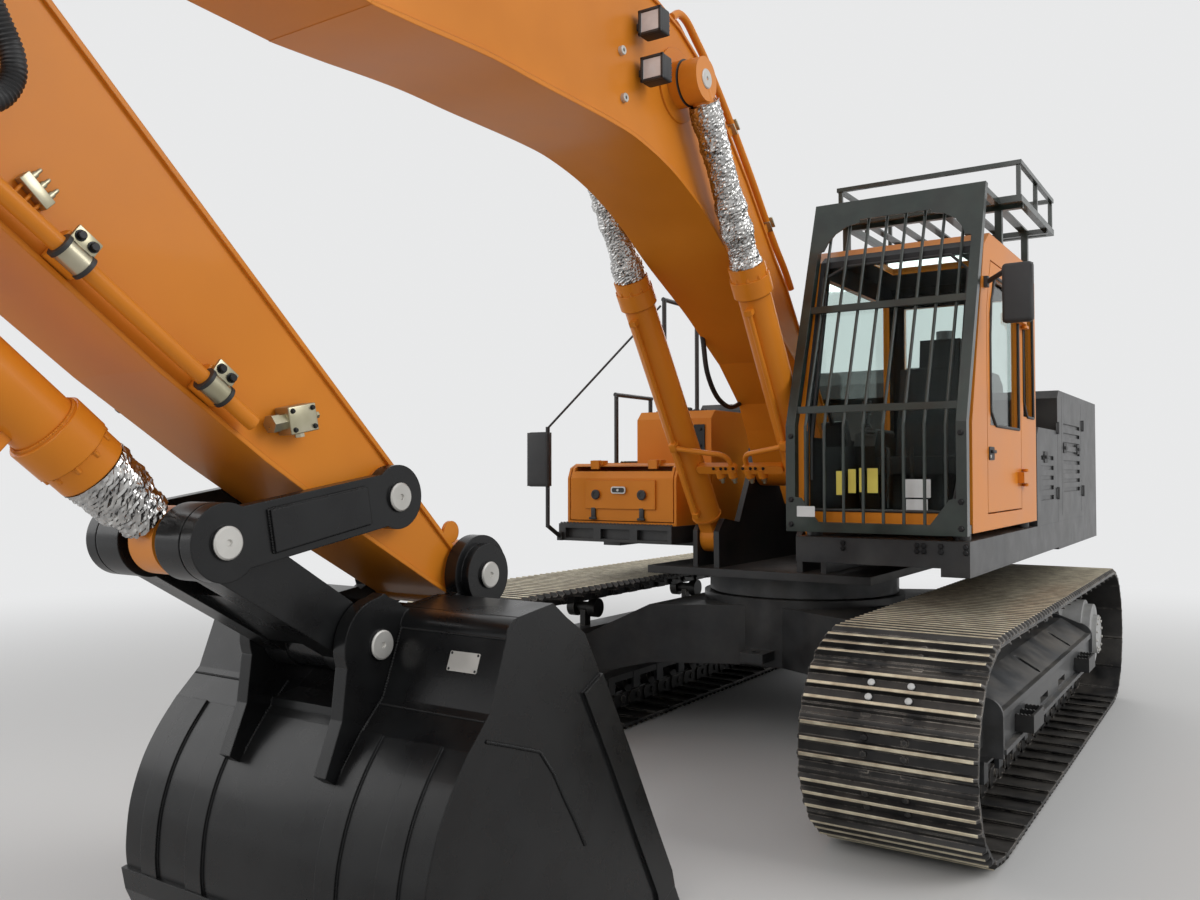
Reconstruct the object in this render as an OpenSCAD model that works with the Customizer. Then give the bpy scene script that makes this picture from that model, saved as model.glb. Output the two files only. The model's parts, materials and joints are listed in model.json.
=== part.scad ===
// Crawler excavator with a one-piece boom, parked with its arm drawn in
// X points forward, Y to the cab side, Z up; the ground is z = 0

/* [Tracks] */
// Length over the track shoes
track_len = 5000; // [4600:10:5400]
// Height over the track shoes
track_h = 1040; // [980:5:1100]
// Distance between the centre lines of the tracks
gauge = 2740; // [2600:10:2900]
// Width of a track shoe
shoe_w = 800; // [600:10:900]
// Number of shoes on a track
shoe_count = 49; // [44:1:52]
// Height of a grouser bar
grouser_h = 28; // [18:1:36]
// Width of a grouser bar at its tip
grouser_w = 15; // [10:1:22]
// Thickness of a shoe plate
shoe_t = 13; // [9:1:18]
// Chain pitch line to the inner face of the shoes
pin_depth = 64; // [56:1:74]
// Chain pitch line to the rollers' running face
rail_depth = 45; // [38:1:52]
// Width of one chain rail
rail_w = 52; // [40:1:64]
// Distance between the chain rails' centre lines
rail_gap = 176; // [160:1:200]
// Lower rollers on each side
roller_count = 9; // [7:1:9]
// Radius of a lower roller's tread
roller_r = 86; // [78:1:90]
// Radius of a carrier roller
carrier_r = 68; // [60:1:76]

/* [Undercarriage] */
// Width of a track frame
frame_w = 560; // [480:10:580]
// Underside of the track frames
frame_z = 330; // [320:5:360]
// Height of a track frame's side wall
frame_h = 250; // [200:5:280]
// Height of the sloped top above the side wall
slope_h = 110; // [60:5:125]
// Ground clearance below the car body
clearance_z = 520; // [480:5:560]
// Top of the car body, under the swing bearing
carbody_z = 960; // [930:5:985]
// Outer radius of the swing bearing
bearing_r = 660; // [600:10:700]
// Underside of the revolving frame
deck_z = 1110; // [1100:5:1130]

/* [Upper structure] */
// Width over the upper structure
upper_w = 2980; // [2900:10:3100]
// Tail radius of the counterweight
tail_r = 3530; // [3400:10:3650]
// Length of the counterweight
weight_len = 1000; // [850:10:1150]
// Underside of the counterweight and of the side bodies
skirt_z = 1225; // [1215:5:1260]
// Top of the engine hood
hood_z = 2640; // [2500:10:2750]
// Front of the engine room
engine_x = -1250; // [-1350:10:-1150]
// Top of the fuel tank and the hydraulic tank
tank_z = 2250; // [2150:10:2350]
// Wall of the sheet metal housings
sheet_t = 40; // [30:1:50]
// Radius of the pins
pin_r = 52; // [45:1:56]
// Running clearance of a pin in its bore
run_gap = 0.05; // [0.02:0.01:0.09]

/* [Cab] */
// Inner side of the cab
cab_y = 497; // [495:1:520]
// Width of the cab
cab_w = 993; // [960:1:1000]
// Rear of the cab
cab_back = -420; // [-480:5:-380]
// Foot of the front pillars
cab_front = 1330; // [1280:5:1360]
// How far the front pillars lean back at the roof
cab_lean = 330; // [260:5:380]
// Cab floor underside
cab_floor = 1470; // [1450:5:1500]
// Cab roof
cab_roof = 3150; // [3080:5:3220]
// Wall of the cab
wall = 50; // [40:1:60]
// Thickness of the panes
glass_t = 8; // [6:1:10]
// Front edge of the door
door_front = 985; // [950:5:1000]
// Rear edge of the door
door_back = 60; // [20:5:100]
// Bars in the front guard
bar_count = 8; // [6:1:10]
// Radius of a guard bar
bar_r = 9; // [7:0.5:11]

/* [Boom] */
// Boom foot pin forward of the swing axis
foot_x = 100; // [60:5:140]
// Boom foot pin above the ground
foot_z = 1850; // [1820:5:1880]
// Foot pin to tip pin
boom_len = 6313; // [6200:1:6500]
// Angle of the boom as parked
boom_tilt = 16.28; // [14:0.01:18]
// Width of the boom
boom_w = 536; // [500:2:540]
// Radius of the boom foot
foot_r = 150; // [135:1:160]
// Radius of the boom tip
tip_r = 175; // [165:1:190]
// Cylinder pins forward of the swing axis
jack_x = 660; // [640:5:690]
// Cylinder pins above the ground
jack_z = 1360; // [1340:5:1380]
// Distance of each boom cylinder from the middle
jack_y = 378; // [374:1:380]
// Width of a cylinder eye
eye_w = 104; // [90:1:108]
// Radius of the cylinder tubes
tube_r = 95; // [86:1:96]
// Radius of the piston rods
rod_r = 55; // [48:1:58]

/* [Arm] */
// Boom tip pin to bucket pin
arm_len = 3186; // [3100:1:3300]
// Angle of the arm as parked, from the tip up to the boom
arm_tilt = 44.05; // [42:0.01:46]
// Width of the arm
arm_w = 416; // [400:1:420]
// Radius of the boss on the boom tip pin
elbow_r = 200; // [190:1:210]
// Radius of the boss on the bucket pin
nose_r = 128; // [115:1:135]
// How far the side plates of boom and arm lie behind the edges of their flanges
lip_d = 12; // [6:1:16]
// Thickness of the flange plates that show as a lip
lip_w = 16; // [12:1:22]
// Side gap between the arm and what it turns in
side_gap = 6; // [5:0.5:9]
// Radius of the lever's boss on the arm
lever_r = 112; // [104:1:118]
// Thickness of the link levers
lever_t = 50; // [40:1:56]

/* [Bucket] */
// Width of the bucket
bucket_w = 1480; // [1400:10:1500]
// Thickness of the bucket's shell
shell_t = 26; // [20:1:34]
// Thickness of the bucket's side plates
cheek_t = 36; // [28:1:44]
// Thickness of the bucket's ears
ear_t = 55; // [46:1:60]

/* [Hidden] */
$fn = 48;
// Rest gap between pieces that seat on each other
seat = 0.3;
end_r = track_h / 2;
run_x = track_len / 2 - end_r;
pitch_r = end_r - grouser_h - shoe_t - pin_depth;
loop_len = 4 * run_x + 2 * PI * pitch_r;
link_len = loop_len / shoe_count;
track_y = gauge / 2;
half_link = link_len / pitch_r * 90 / PI;
idler_r = (pitch_r * cos(half_link) - rail_depth) * cos(half_link) - seat;
rail_z = end_r - pitch_r + rail_depth;
top_z = frame_z + frame_h + slope_h;
frame_x = run_x - 470;
boom_y = boom_w / 2;
arm_y = arm_w / 2;
foot = [foot_x, foot_z];
jack = [jack_x, jack_z];
tip = foot + boom_len * [cos(boom_tilt), sin(boom_tilt)];
nose = tip - arm_len * [cos(arm_tilt), sin(arm_tilt)];
// Pins on the boom as [along the boom, above its axis]
jack_eye = [2658, 1255];
dip_foot = [3321, 1739];
// Pins on the arm as [up the arm, in front of its axis]
lever_pin = [528, 87];
link_pin = [948, 660];
crowd_eye = [arm_len + 694, 455];
curl_foot = [2980, 790];
crowd_boss = 148;
// Bucket link pin from the bucket pin
link_eye = [530, -195];

function on_boom(p) = foot + [p[0] * cos(boom_tilt) - p[1] * sin(boom_tilt),
    p[0] * sin(boom_tilt) + p[1] * cos(boom_tilt)];
function on_arm(p) = nose + [p[0] * cos(arm_tilt) + p[1] * sin(arm_tilt),
    p[0] * sin(arm_tilt) - p[1] * cos(arm_tilt)];
function turn(v) = atan2(v[1], v[0]);
// The arm's upper boss and the tail are the ends of the part, and their middle is x = 0
reach = on_arm(crowd_eye)[0] + crowd_boss;
mid_x = (reach - tail_r) / 2;

module home() translate([-mid_x, 0, 0]) children();
// Extrudes an X-Z profile from y0 to y1
module slab(y0, y1) translate([0, y1, 0]) rotate([90, 0, 0]) linear_extrude(y1 - y0) children();
// Extrudes a Y-Z profile from x0 to x1
module bar_x(x0, x1) translate([x0, 0, 0]) rotate([90, 0, 90]) linear_extrude(x1 - x0) children();
module block(x0, x1, y0, y1, z0, z1) translate([x0, y0, z0]) cube([x1 - x0, y1 - y0, z1 - z0]);
module disc_y(p, r, y0, y1) translate([p[0], y1, p[1]]) rotate([90, 0, 0]) cylinder(r = r, h = y1 - y0);
module both() { children(); mirror([0, 1, 0]) children(); }
module pipe(a, b, r) {
    d = b - a;
    translate(a) rotate([0, acos(d[2] / norm(d)), atan2(d[1], d[0])]) cylinder(r = r, h = norm(d), $fn = 24);
}
// A bent pipe through a list of points
module pipe_run(pts, r) {
    for (i = [1 : len(pts) - 1]) pipe(pts[i - 1], pts[i], r);
    for (i = [1 : len(pts) - 2]) translate(pts[i]) sphere(r = r + 0.5, $fn = 24);
}
module in_boom() translate([foot[0], 0, foot[1]]) rotate([0, -boom_tilt, 0]) children();
module in_arm() translate([nose[0], 0, nose[1]]) rotate([0, -arm_tilt, 0]) children();
module in_bucket() translate([nose[0], 0, nose[1]]) children();

// Pitch line of the track: a stadium walked from the middle of its lower run
function loop_at(s) =
    let(a = run_x, r = pitch_r, c = end_r, q = PI * r)
    s < a ? [s, c - r] :
    s < a + q ? [a + r * sin((s - a) / r * 180 / PI), c - r * cos((s - a) / r * 180 / PI)] :
    s < 3 * a + q ? [2 * a + q - s, c + r] :
    s < 3 * a + 2 * q ?
        let(w = (s - 3 * a - q) / r * 180 / PI) [-a - r * sin(w), c + r * cos(w)] :
        [s - 4 * a - 2 * q, c - r];
// One grouser bar as [along the shoe, above the pitch line]
function grouser(c) = let(h = pin_depth + shoe_t)
    [[c - grouser_w / 2 - 6, h], [c - grouser_w / 2, h + grouser_h],
     [c + grouser_w / 2, h + grouser_h], [c + grouser_w / 2 + 6, h]];
function on_link(i, q) =
    let(a = loop_at(i * link_len), b = loop_at(((i + 1) % shoe_count) * link_len), d = (b - a) / norm(b - a))
    a + d * q[0] + [d[1], -d[0]] * q[1];
function shoe_line(i) = [for (k = [1, 3, 5]) for (q = grouser(link_len * k / 6)) on_link(i, q)];

module loop_2d(h) polygon([for (i = [0 : shoe_count - 1]) on_link(i, [link_len / 2, h])]);

module track(side) {
    color([0.1, 0.1, 0.11]) home() translate([0, side * track_y, 0]) {
        slab(-shoe_w / 2, shoe_w / 2) difference() {
            polygon([for (i = [0 : shoe_count - 1]) each shoe_line(i)]);
            loop_2d(pin_depth);
        }
        for (y = [-rail_gap / 2, rail_gap / 2])
            slab(y - rail_w / 2, y + rail_w / 2) difference() {
                loop_2d(pin_depth + shoe_t / 2);
                loop_2d(-rail_depth);
            }
    }
}

// Track frame profile across: a box with a ridged top that sheds mud
function frame_profile() = [[-frame_w / 2 + 60, frame_z], [frame_w / 2 - 60, frame_z],
    [frame_w / 2, frame_z + 70], [frame_w / 2, frame_z + frame_h], [90, top_z], [-90, top_z],
    [-frame_w / 2, frame_z + frame_h], [-frame_w / 2, frame_z + 70]];

end_r1 = 90;
end_plate = concat([[-frame_w / 2 + 80, frame_z + 30], [frame_w / 2 + 22, frame_z + 30]],
    [for (a = [0 : 15 : 90]) [frame_w / 2 + 22 - end_r1 * (1 - cos(a)), frame_z + frame_h + 60 + end_r1 * (sin(a) - 1) + 20]],
    [[60, top_z + 26], [-60, top_z + 26], [-frame_w / 2 + 80, top_z - 40]]);

module track_frame(side) {
    color([0.23, 0.24, 0.25]) home() translate([0, side * track_y, 0]) {
        difference() {
            bar_x(-frame_x, frame_x) polygon(frame_profile());
            // Mud slots through the lower wall
            for (x = [-900, -300, 300, 900])
                block(x - 120, x + 120, -frame_w, frame_w, frame_z + 95, frame_z + 135);
            // Oval slots through the sloped top
            for (x = [-800, 300]) translate([x, side * 185, frame_z + frame_h - 20]) {
                for (s = [-1, 1]) translate([0, s * 45, 0]) cylinder(r = 28, h = slope_h + 40);
                block(-26, 26, -45, 45, 0, slope_h + 40);
            }
        }
        // End plates with round corners, and the ledge along the foot of the outer wall
        for (x = [-frame_x, frame_x]) bar_x(x - 11, x + 11) polygon([for (q = end_plate) [side * q[0], q[1]]]);
        block(-frame_x, frame_x, side * (frame_w / 2 + 6) - 28, side * (frame_w / 2 + 6) + 28, frame_z + 52, frame_z + 76);
        // Yoke that holds the idler
        for (s = [-1, 1]) block(frame_x - 40, run_x + 90, s * 178 - 24, s * 178 + 24, end_r - 110, end_r + 90);
        // Bracket plate of the final drive
        difference() {
            union() {
                block(-run_x, -frame_x + 40, -side * 190 - 24, -side * 190 + 24, end_r - 170, end_r + 150);
                disc_y([-run_x, end_r], 300, -side * 190 - 24, -side * 190 + 24);
            }
            disc_y([-run_x, end_r], motor_r + seat, -frame_w, frame_w);
        }
        // Bright bent edge along the outer wall
        block(-frame_x, frame_x, side * frame_w / 2 - side * 6 - 20, side * frame_w / 2 - side * 6 + 20,
            frame_z + frame_h - 26, frame_z + frame_h + 10);
        // Brackets that hold the lower rollers' axles, joined into a guard rail
        for (s = [-1, 1]) {
            for (x = roller_x) block(x - 46, x + 46, s * 173 - 13 + seat, s * 173 + 13 - seat, rail_z + roller_r - 45, frame_z + 1);
            block(roller_x[0] - 46, roller_x[roller_count - 1] + 46, s * 173 - 9, s * 173 + 9, frame_z - 60, frame_z + 1);
        }
    }
}

roller_x = [for (i = [0 : roller_count - 1]) -frame_x + 130 + i * (2 * frame_x - 260) / (roller_count - 1)];
module rollers_on(side, z, r, w, xs) {
    for (x = xs) translate([x, side * track_y, z]) {
        for (s = [-1, 1]) translate([0, s * rail_gap / 2, 0]) rotate([90, 0, 0]) cylinder(r = r, h = rail_w + 8, center = true);
        rotate([90, 0, 0]) cylinder(r = r - 30, h = rail_gap, center = true);
        rotate([90, 0, 0]) cylinder(r = 34, h = w, center = true);
    }
}

module lower_rollers() {
    color([0.12, 0.12, 0.13]) home() for (side = [-1, 1])
        rollers_on(side, rail_z + roller_r + seat, roller_r, 320, roller_x);
}
module carrier_rollers() {
    color([0.12, 0.12, 0.13]) home() for (side = [-1, 1]) for (x = [-760, 760]) {
        rollers_on(side, track_h - rail_z - carrier_r - seat, carrier_r, rail_gap + rail_w, [x]);
        // Carrier post on the ridge of the track frame
        block(x - 35, x + 35, side * track_y - 22, side * track_y + 22, top_z + seat, track_h - rail_z - carrier_r - 20);
    }
}
module idlers() {
    color([0.16, 0.16, 0.17]) home() for (side = [-1, 1]) translate([run_x, side * track_y, end_r]) rotate([90, 0, 0]) {
        difference() {
            cylinder(r = idler_r, h = rail_gap + rail_w, center = true);
            for (s = [-1, 1]) translate([0, 0, s * (rail_gap + rail_w) / 2])
                cylinder(r = idler_r - 62, h = 110, center = true);
        }
        for (s = [-1, 1]) translate([0, 0, s * rail_gap / 2]) cylinder(r = 92, h = rail_w + 10, center = true);
        // Guide flange between the rails
        cylinder(r = idler_r + 22, h = rail_gap - rail_w - 10, center = true);
        cylinder(r = 45, h = 2 * (178 - 24 - seat), center = true);
    }
}
sprocket_teeth = 23;
motor_r = 215;
module final_drives() {
    color([0.75, 0.75, 0.74]) home() for (side = [-1, 1]) translate([-run_x, side * track_y, end_r]) {
        rotate([90, 0, 0]) linear_extrude(rail_gap - rail_w - 16, center = true)
            polygon([for (i = [0 : sprocket_teeth - 1]) for (q = [[-0.33, -36], [-0.14, 22], [0.14, 22], [0.33, -36]])
                (pitch_r + q[1] - 26) * [cos((i + q[0]) * 360 / sprocket_teeth), sin((i + q[0]) * 360 / sprocket_teeth)]]);
        rotate([side * -90, 0, 0]) {
            cylinder(r = 262, h = 190);
            cylinder(r = 232, h = 250);
            cylinder(r = 150, h = 285);
            translate([0, 0, -260]) cylinder(r = motor_r, h = 262);
        }
    }
}
module frame_steps() {
    color([0.06, 0.06, 0.07]) home() for (side = [-1, 1]) for (x = [-950, 1000])
        translate([x, side * (track_y + frame_w / 2 + 0.3), frame_z + 88]) scale([1, side, 1]) difference() {
            block(-140, 140, 0, 95, 0, 90);
            for (s = [-1, 1]) block(s > 0 ? 9 : -124, s > 0 ? 124 : -9, -1, 79, -1, 91);
        }
}

module car_body() {
    color([0.12, 0.12, 0.13]) home() {
        difference() {
            intersection() {
                // Four legs from the hub to the track frames
                linear_extrude(carbody_z) polygon([[1180, 1100], [620, 0], [1180, -1100], [-1180, -1100],
                    [-620, 0], [-1180, 1100]]);
                bar_x(-1400, 1400) polygon([[-leg_y, 430], [-700, clearance_z], [700, clearance_z], [leg_y, 430],
                    [leg_y, 700], [700, carbody_z - 50], [-700, carbody_z - 50], [-leg_y, 700]]);
            }
            // Open arches between the legs at the sides
            for (s = [-1, 1]) translate([0, s * (leg_y + 250), 0]) cylinder(r = 620, h = carbody_z + 1);
        }
        translate([0, 0, clearance_z]) cylinder(r = bearing_r + 40, h = carbody_z - clearance_z);
        // Towing eyes on the front and the back
        for (s = [-1, 1]) difference() {
            block(s > 0 ? 660 : -880, s > 0 ? 880 : -660, -80, 80, lug_z - 30, lug_z + 30);
            translate([s * lug_x, 0, lug_z - 31]) cylinder(r = 30, h = 62);
        }
    }
}
leg_y = track_y - frame_w / 2 - 0.3;
lug_x = 800;
lug_z = clearance_z + 80;
ring_gap = 0.5;
module swing_ring() {
    color([0.35, 0.35, 0.36]) home() translate([0, 0, carbody_z + 0.3]) difference() {
        cylinder(r = bearing_r - 90, h = deck_z - carbody_z - 8);
        translate([0, 0, -1]) cylinder(r = bearing_r - 190, h = deck_z - carbody_z);
    }
}
module slew_race() {
    color([0.35, 0.35, 0.36]) home() translate([0, 0, carbody_z + 8]) difference() {
        cylinder(r = bearing_r, h = deck_z - carbody_z - 8.3);
        translate([0, 0, -1]) cylinder(r = bearing_r - 90 + ring_gap, h = deck_z - carbody_z);
    }
}

// Revolving frame: bottom plate, two main plates that carry the boom, and deck rails
main_y = boom_y + side_gap;
main_t = 40;
jack_in = jack_y - eye_w / 2 - side_gap;
jack_out = jack_y + eye_w / 2 + side_gap;
side_y = upper_w / 2;
rail_top = skirt_z + 205;
plate_z = 1480;
step_x = 330;
step_front = 920;
frame_back = -tail_r + weight_len + seat;
module revolving_frame() {
    color([0.07, 0.07, 0.08]) home() {
        block(frame_back, 860, -780, 780, deck_z, deck_z + 50);
        // Main plates from the counterweight to the boom foot
        both() slab(main_y, main_y + main_t) polygon([
            [frame_back, deck_z + 40], [jack_x + 120, deck_z + 40], [jack_x + 125, jack_z + 40],
            [jack_x + 40, jack_z + 125], [jack_x - 60, jack_z + 110], [jack_x - 190, jack_z + 95],
            [foot_x + 170, foot_z - 60], [foot_x + 130, foot_z + 120],
            [foot_x - 130, foot_z + 120], [foot_x - 420, 1560], [engine_x - 80, plate_z], [frame_back, plate_z]]);
        both() slab(jack_out, jack_out + 34) polygon([
            [100, deck_z + 40], [jack_x + 120, deck_z + 40], [jack_x + 125, jack_z + 40],
            [jack_x + 40, jack_z + 125], [jack_x - 110, jack_z + 90], [100, 1230]]);
        // Side rails and outriggers below the cab and the tanks
        block(frame_back, 1400, side_y - 150, side_y, skirt_z + 15, rail_top);
        block(frame_back, step_x - 0.3, -side_y, -side_y + 150, skirt_z + 15, rail_top);
        for (x = [-2100, -900, 60]) both() block(x, x + 120, main_y, side_y - 10, skirt_z + 25, rail_top - 25);
        block(680, 800, jack_out, side_y - 10, skirt_z + 25, rail_top - 25);
        // Cab bed with its four mounts
        block(cab_back, 1400, cab_y + 30, cab_y + 140, skirt_z + 60, rail_top);
        block(1280, 1400, cab_y + 30, side_y - 10, skirt_z + 60, rail_top);
        for (x = [cab_back + 110, 1250]) for (y = [cab_y + 85, side_y - 75])
            translate([x, y, rail_top - 5]) cylinder(r = 45, h = cab_floor - rail_top + 4.7);
        // Boom foot pin and the two cylinder pins, held in the plates
        disc_y(foot, pin_r, -main_y - main_t - 10, main_y + main_t + 10);
        both() disc_y(jack, pin_r, main_y + 5, jack_out + 34 + 8);
    }
}

weight_x = -tail_r + weight_len;
weight_h = 1180;
module counterweight() {
    color([0.1, 0.1, 0.1]) home() difference() {
        intersection() {
            translate([0, 0, skirt_z]) cylinder(r = tail_r, h = weight_h, $fn = 96);
            block(-tail_r - 1, weight_x, -side_y, side_y, skirt_z, skirt_z + weight_h);
            // Chamfered lower and upper edges at the tail
            slab(-side_y, side_y) polygon([[-tail_r + 90, skirt_z], [weight_x, skirt_z], [weight_x, skirt_z + weight_h],
                [-tail_r + 160, skirt_z + weight_h], [-tail_r, skirt_z + weight_h - 280], [-tail_r, skirt_z + 260]]);
        }
        // Lifting eyes: a slot with a bore across
        for (s = [-1, 1]) {
            block(weight_x - 560, weight_x - 400, s * 700 - 60, s * 700 + 60, skirt_z + weight_h - 140,
                skirt_z + weight_h + 1);
        }
    }
}

room_z = skirt_z + weight_h;
hood_y = 840;
slot_step = (engine_x - weight_x - 500) / 9;
module engine_hood() {
    color([0.12, 0.12, 0.13]) home() difference() {
        slab(-hood_y, hood_y) polygon([[weight_x + seat, room_z + seat], [engine_x, room_z + seat], [engine_x, hood_z - 120],
            [engine_x - 120, hood_z], [weight_x + 160, hood_z], [weight_x + seat, hood_z - 90]]);
        t = sheet_t;
        slab(-hood_y + t, hood_y - t) polygon([[weight_x + t + 5, room_z + seat - 1], [engine_x - t, room_z + seat - 1],
            [engine_x - t, hood_z - 90 - t], [engine_x - 100 - t, hood_z - t], [weight_x + 140 + t, hood_z - t],
            [weight_x + t + 5, hood_z - 70 - t]]);
        // Air slots over the radiator
        for (i = [0 : 8]) let(x = weight_x + 200 + i * slot_step)
            block(x, x + slot_step * 0.45, -600, -150, hood_z - 60, hood_z + 10);
    }
}
module engine_room(side) {
    color([0.12, 0.12, 0.13]) home() {
        y0 = side > 0 ? hood_y : -side_y;
        y1 = side > 0 ? side_y : -hood_y;
        difference() {
            slab(y0, y1) polygon([[weight_x + seat, rail_top + seat], [engine_x, rail_top + seat], [engine_x, room_z - 60],
                [engine_x - 60, room_z], [weight_x + seat, room_z]]);
            // Louvres in the outer door, between its two seams
            for (i = [0 : 7]) block(weight_x + 250, engine_x - 250, side * side_y - 14, side * side_y + 14,
                skirt_z + 420 + i * 70, skirt_z + 450 + i * 70);
            for (x = [weight_x + 180, engine_x - 180]) block(x - 3, x + 3, side * side_y - 6, side * side_y + 6, rail_top + 40, room_z - 40);
        }
        // Skirt below the deck rail
        block(weight_x + seat, engine_x, side > 0 ? side_y - 145 : -side_y, side > 0 ? side_y : -side_y + 145, skirt_z, skirt_z + 14.7);
    }
}
locker_z = rail_top + 670;
module left_locker() {
    color([0.12, 0.12, 0.13]) home() difference() {
        slab(main_y + main_t + 30, side_y) polygon([[engine_x + 5, rail_top + 0.3], [cab_back - 25, rail_top + 0.3],
            [cab_back - 25, locker_z - 60], [cab_back - 90, locker_z], [engine_x + 5, locker_z]]);
        for (i = [0 : 4]) block(engine_x + 180, cab_back - 180, side_y - 12, side_y + 1,
            rail_top + 170 + i * 70, rail_top + 200 + i * 70);
    }
}
module engine_block() {
    color([0.3, 0.3, 0.3]) home() block(weight_x + 130, engine_x - 130, -hood_y / 2, hood_y / 2,
        plate_z + 0.3, room_z - 75);
}
module exhaust_stack() {
    color([0.08, 0.08, 0.08]) home() translate([engine_x - 900, 450, hood_z + 0.3]) difference() {
        union() { cylinder(r = 75, h = 380); cylinder(r = 110, h = 20); }
        translate([0, 0, 60]) cylinder(r = 66, h = 400);
    }
}
module fuel_tank() {
    color([0.9, 0.5, 0.1]) home() union() {
        slab(-side_y, -1185) polygon([[-330, rail_top + seat], [330, rail_top + seat], [330, tank_z - 440], [270, tank_z - 380], [-330, tank_z - 380]]);
        slab(-1185, -560) polygon([[-330, rail_top + seat], [330, rail_top + seat], [330, tank_z - 60], [270, tank_z], [-330, tank_z]]);
        translate([120, -1000, tank_z]) cylinder(r = 70, h = 50);
    }
}
module hydraulic_tank() {
    color([0.9, 0.5, 0.1]) home() {
        block(engine_x + 5, -340, -side_y, -560, rail_top + 0.3, tank_z);
        translate([-800, -1000, tank_z]) cylinder(r = 120, h = 40);
        translate([-560, -1250, tank_z]) cylinder(r = 60, h = 60);
    }
}
// Swing motor on its gearbox, and the main valve behind it, between the main plates
module swing_drive() {
    color([0.3, 0.3, 0.31]) home() translate([-430, 0, deck_z + 50 + seat]) {
        cylinder(r = 190, h = 60);
        cylinder(r = 160, h = 330);
        translate([0, 0, 330]) cylinder(r = 120, h = 60);
        translate([0, 0, 390]) cylinder(r = 92, h = 190);
        block(-80, 80, -150, 150, 420, 540);
    }
}
module main_valve() {
    color([0.3, 0.3, 0.31]) home() {
        z = deck_z + 50 + seat;
        block(-1180, -760, -190, 190, z, z + 430);
        for (i = [0 : 5]) translate([-1125 + i * 63, 0, z + 240]) rotate([90, 0, 0]) cylinder(r = 26, h = 500, center = true);
        for (i = [0 : 5]) for (y = [-110, 110]) translate([-1125 + i * 63, y, z + 429]) cylinder(r = 20, h = 50);
    }
}
module front_step() {
    color([0.06, 0.06, 0.07]) home() {
        difference() {
            block(step_x, step_front, -side_y, -560, 1310, rail_top);
            for (i = [0 : 2]) block(step_front - 40, step_front + 1, -side_y + 60 + i * 300, -side_y + 300 + i * 300, 1330, 1400);
        }
    }
}
// Storage box, hinged lid at its front
box_x0 = 340;
box_x1 = 850;
box_z0 = rail_top + 0.3;
box_z1 = 1860;
lid_x = 780;
lid_pin = [lid_x + 3, box_z1 + 14];
lid_hinge_y = [-1250, -770];
module box_section(inset) {
    r = 70 - inset;
    polygon([[box_x0 + inset, box_z0 + inset], [box_x1 - inset, box_z0 + inset], [box_x1 - inset, box_z1 - r * 1.5],
        [box_x1 - r * 0.45, box_z1 - r * 0.45], [box_x1 - r * 1.5, box_z1 - inset], [box_x0 + inset, box_z1 - inset]]);
}
module storage_box() {
    color([0.9, 0.5, 0.1]) home() difference() {
        slab(-1460, -560) box_section(0);
        slab(-1440, -580) box_section(20);
        block(lid_x, box_x1 + 1, -1441, -579, box_z0 + 20, box_z1 + 1);
    }
    color([0.06, 0.06, 0.07]) home() for (y = lid_hinge_y) {
        disc_y(lid_pin, 5, y - 55, y + 55);
        for (s = [-1, 1]) block(lid_x - 60, lid_pin[0] + 5, y + s * 44 - 9, y + s * 44 + 9, box_z1 - 12, lid_pin[1] + 8);
    }
}
module storage_lid() {
    color([0.92, 0.52, 0.1]) home() {
        for (y = lid_hinge_y) difference() {
            union() {
                disc_y(lid_pin, 10, y - 34, y + 34);
                block(lid_x + 7, lid_x + 30, y - 34, y + 34, box_z1 - 40, lid_pin[1] + 8);
            }
            disc_y(lid_pin, 5 + run_gap, y - 40, y + 40);
        }
        difference() {
            intersection() {
                slab(-1434, -586) box_section(0);
                block(lid_x + 6, box_x1 + 1, -1434, -586, box_z0 + 26, box_z1 + 1);
            }
            slab(-1414, -606) box_section(22);
        }
        // Raised panel, vents and latch
        block(box_x1, box_x1 + 14, -1300, -720, box_z0 + 110, box_z1 - 120);
        for (y = [-1200, -820]) translate([box_x1 + 13, y, 1640]) rotate([0, 90, 0]) cylinder(r = 34, h = 14);
        block(box_x1 + 13, box_x1 + 24, -1055, -965, 1655, 1690);
    }
}

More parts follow.
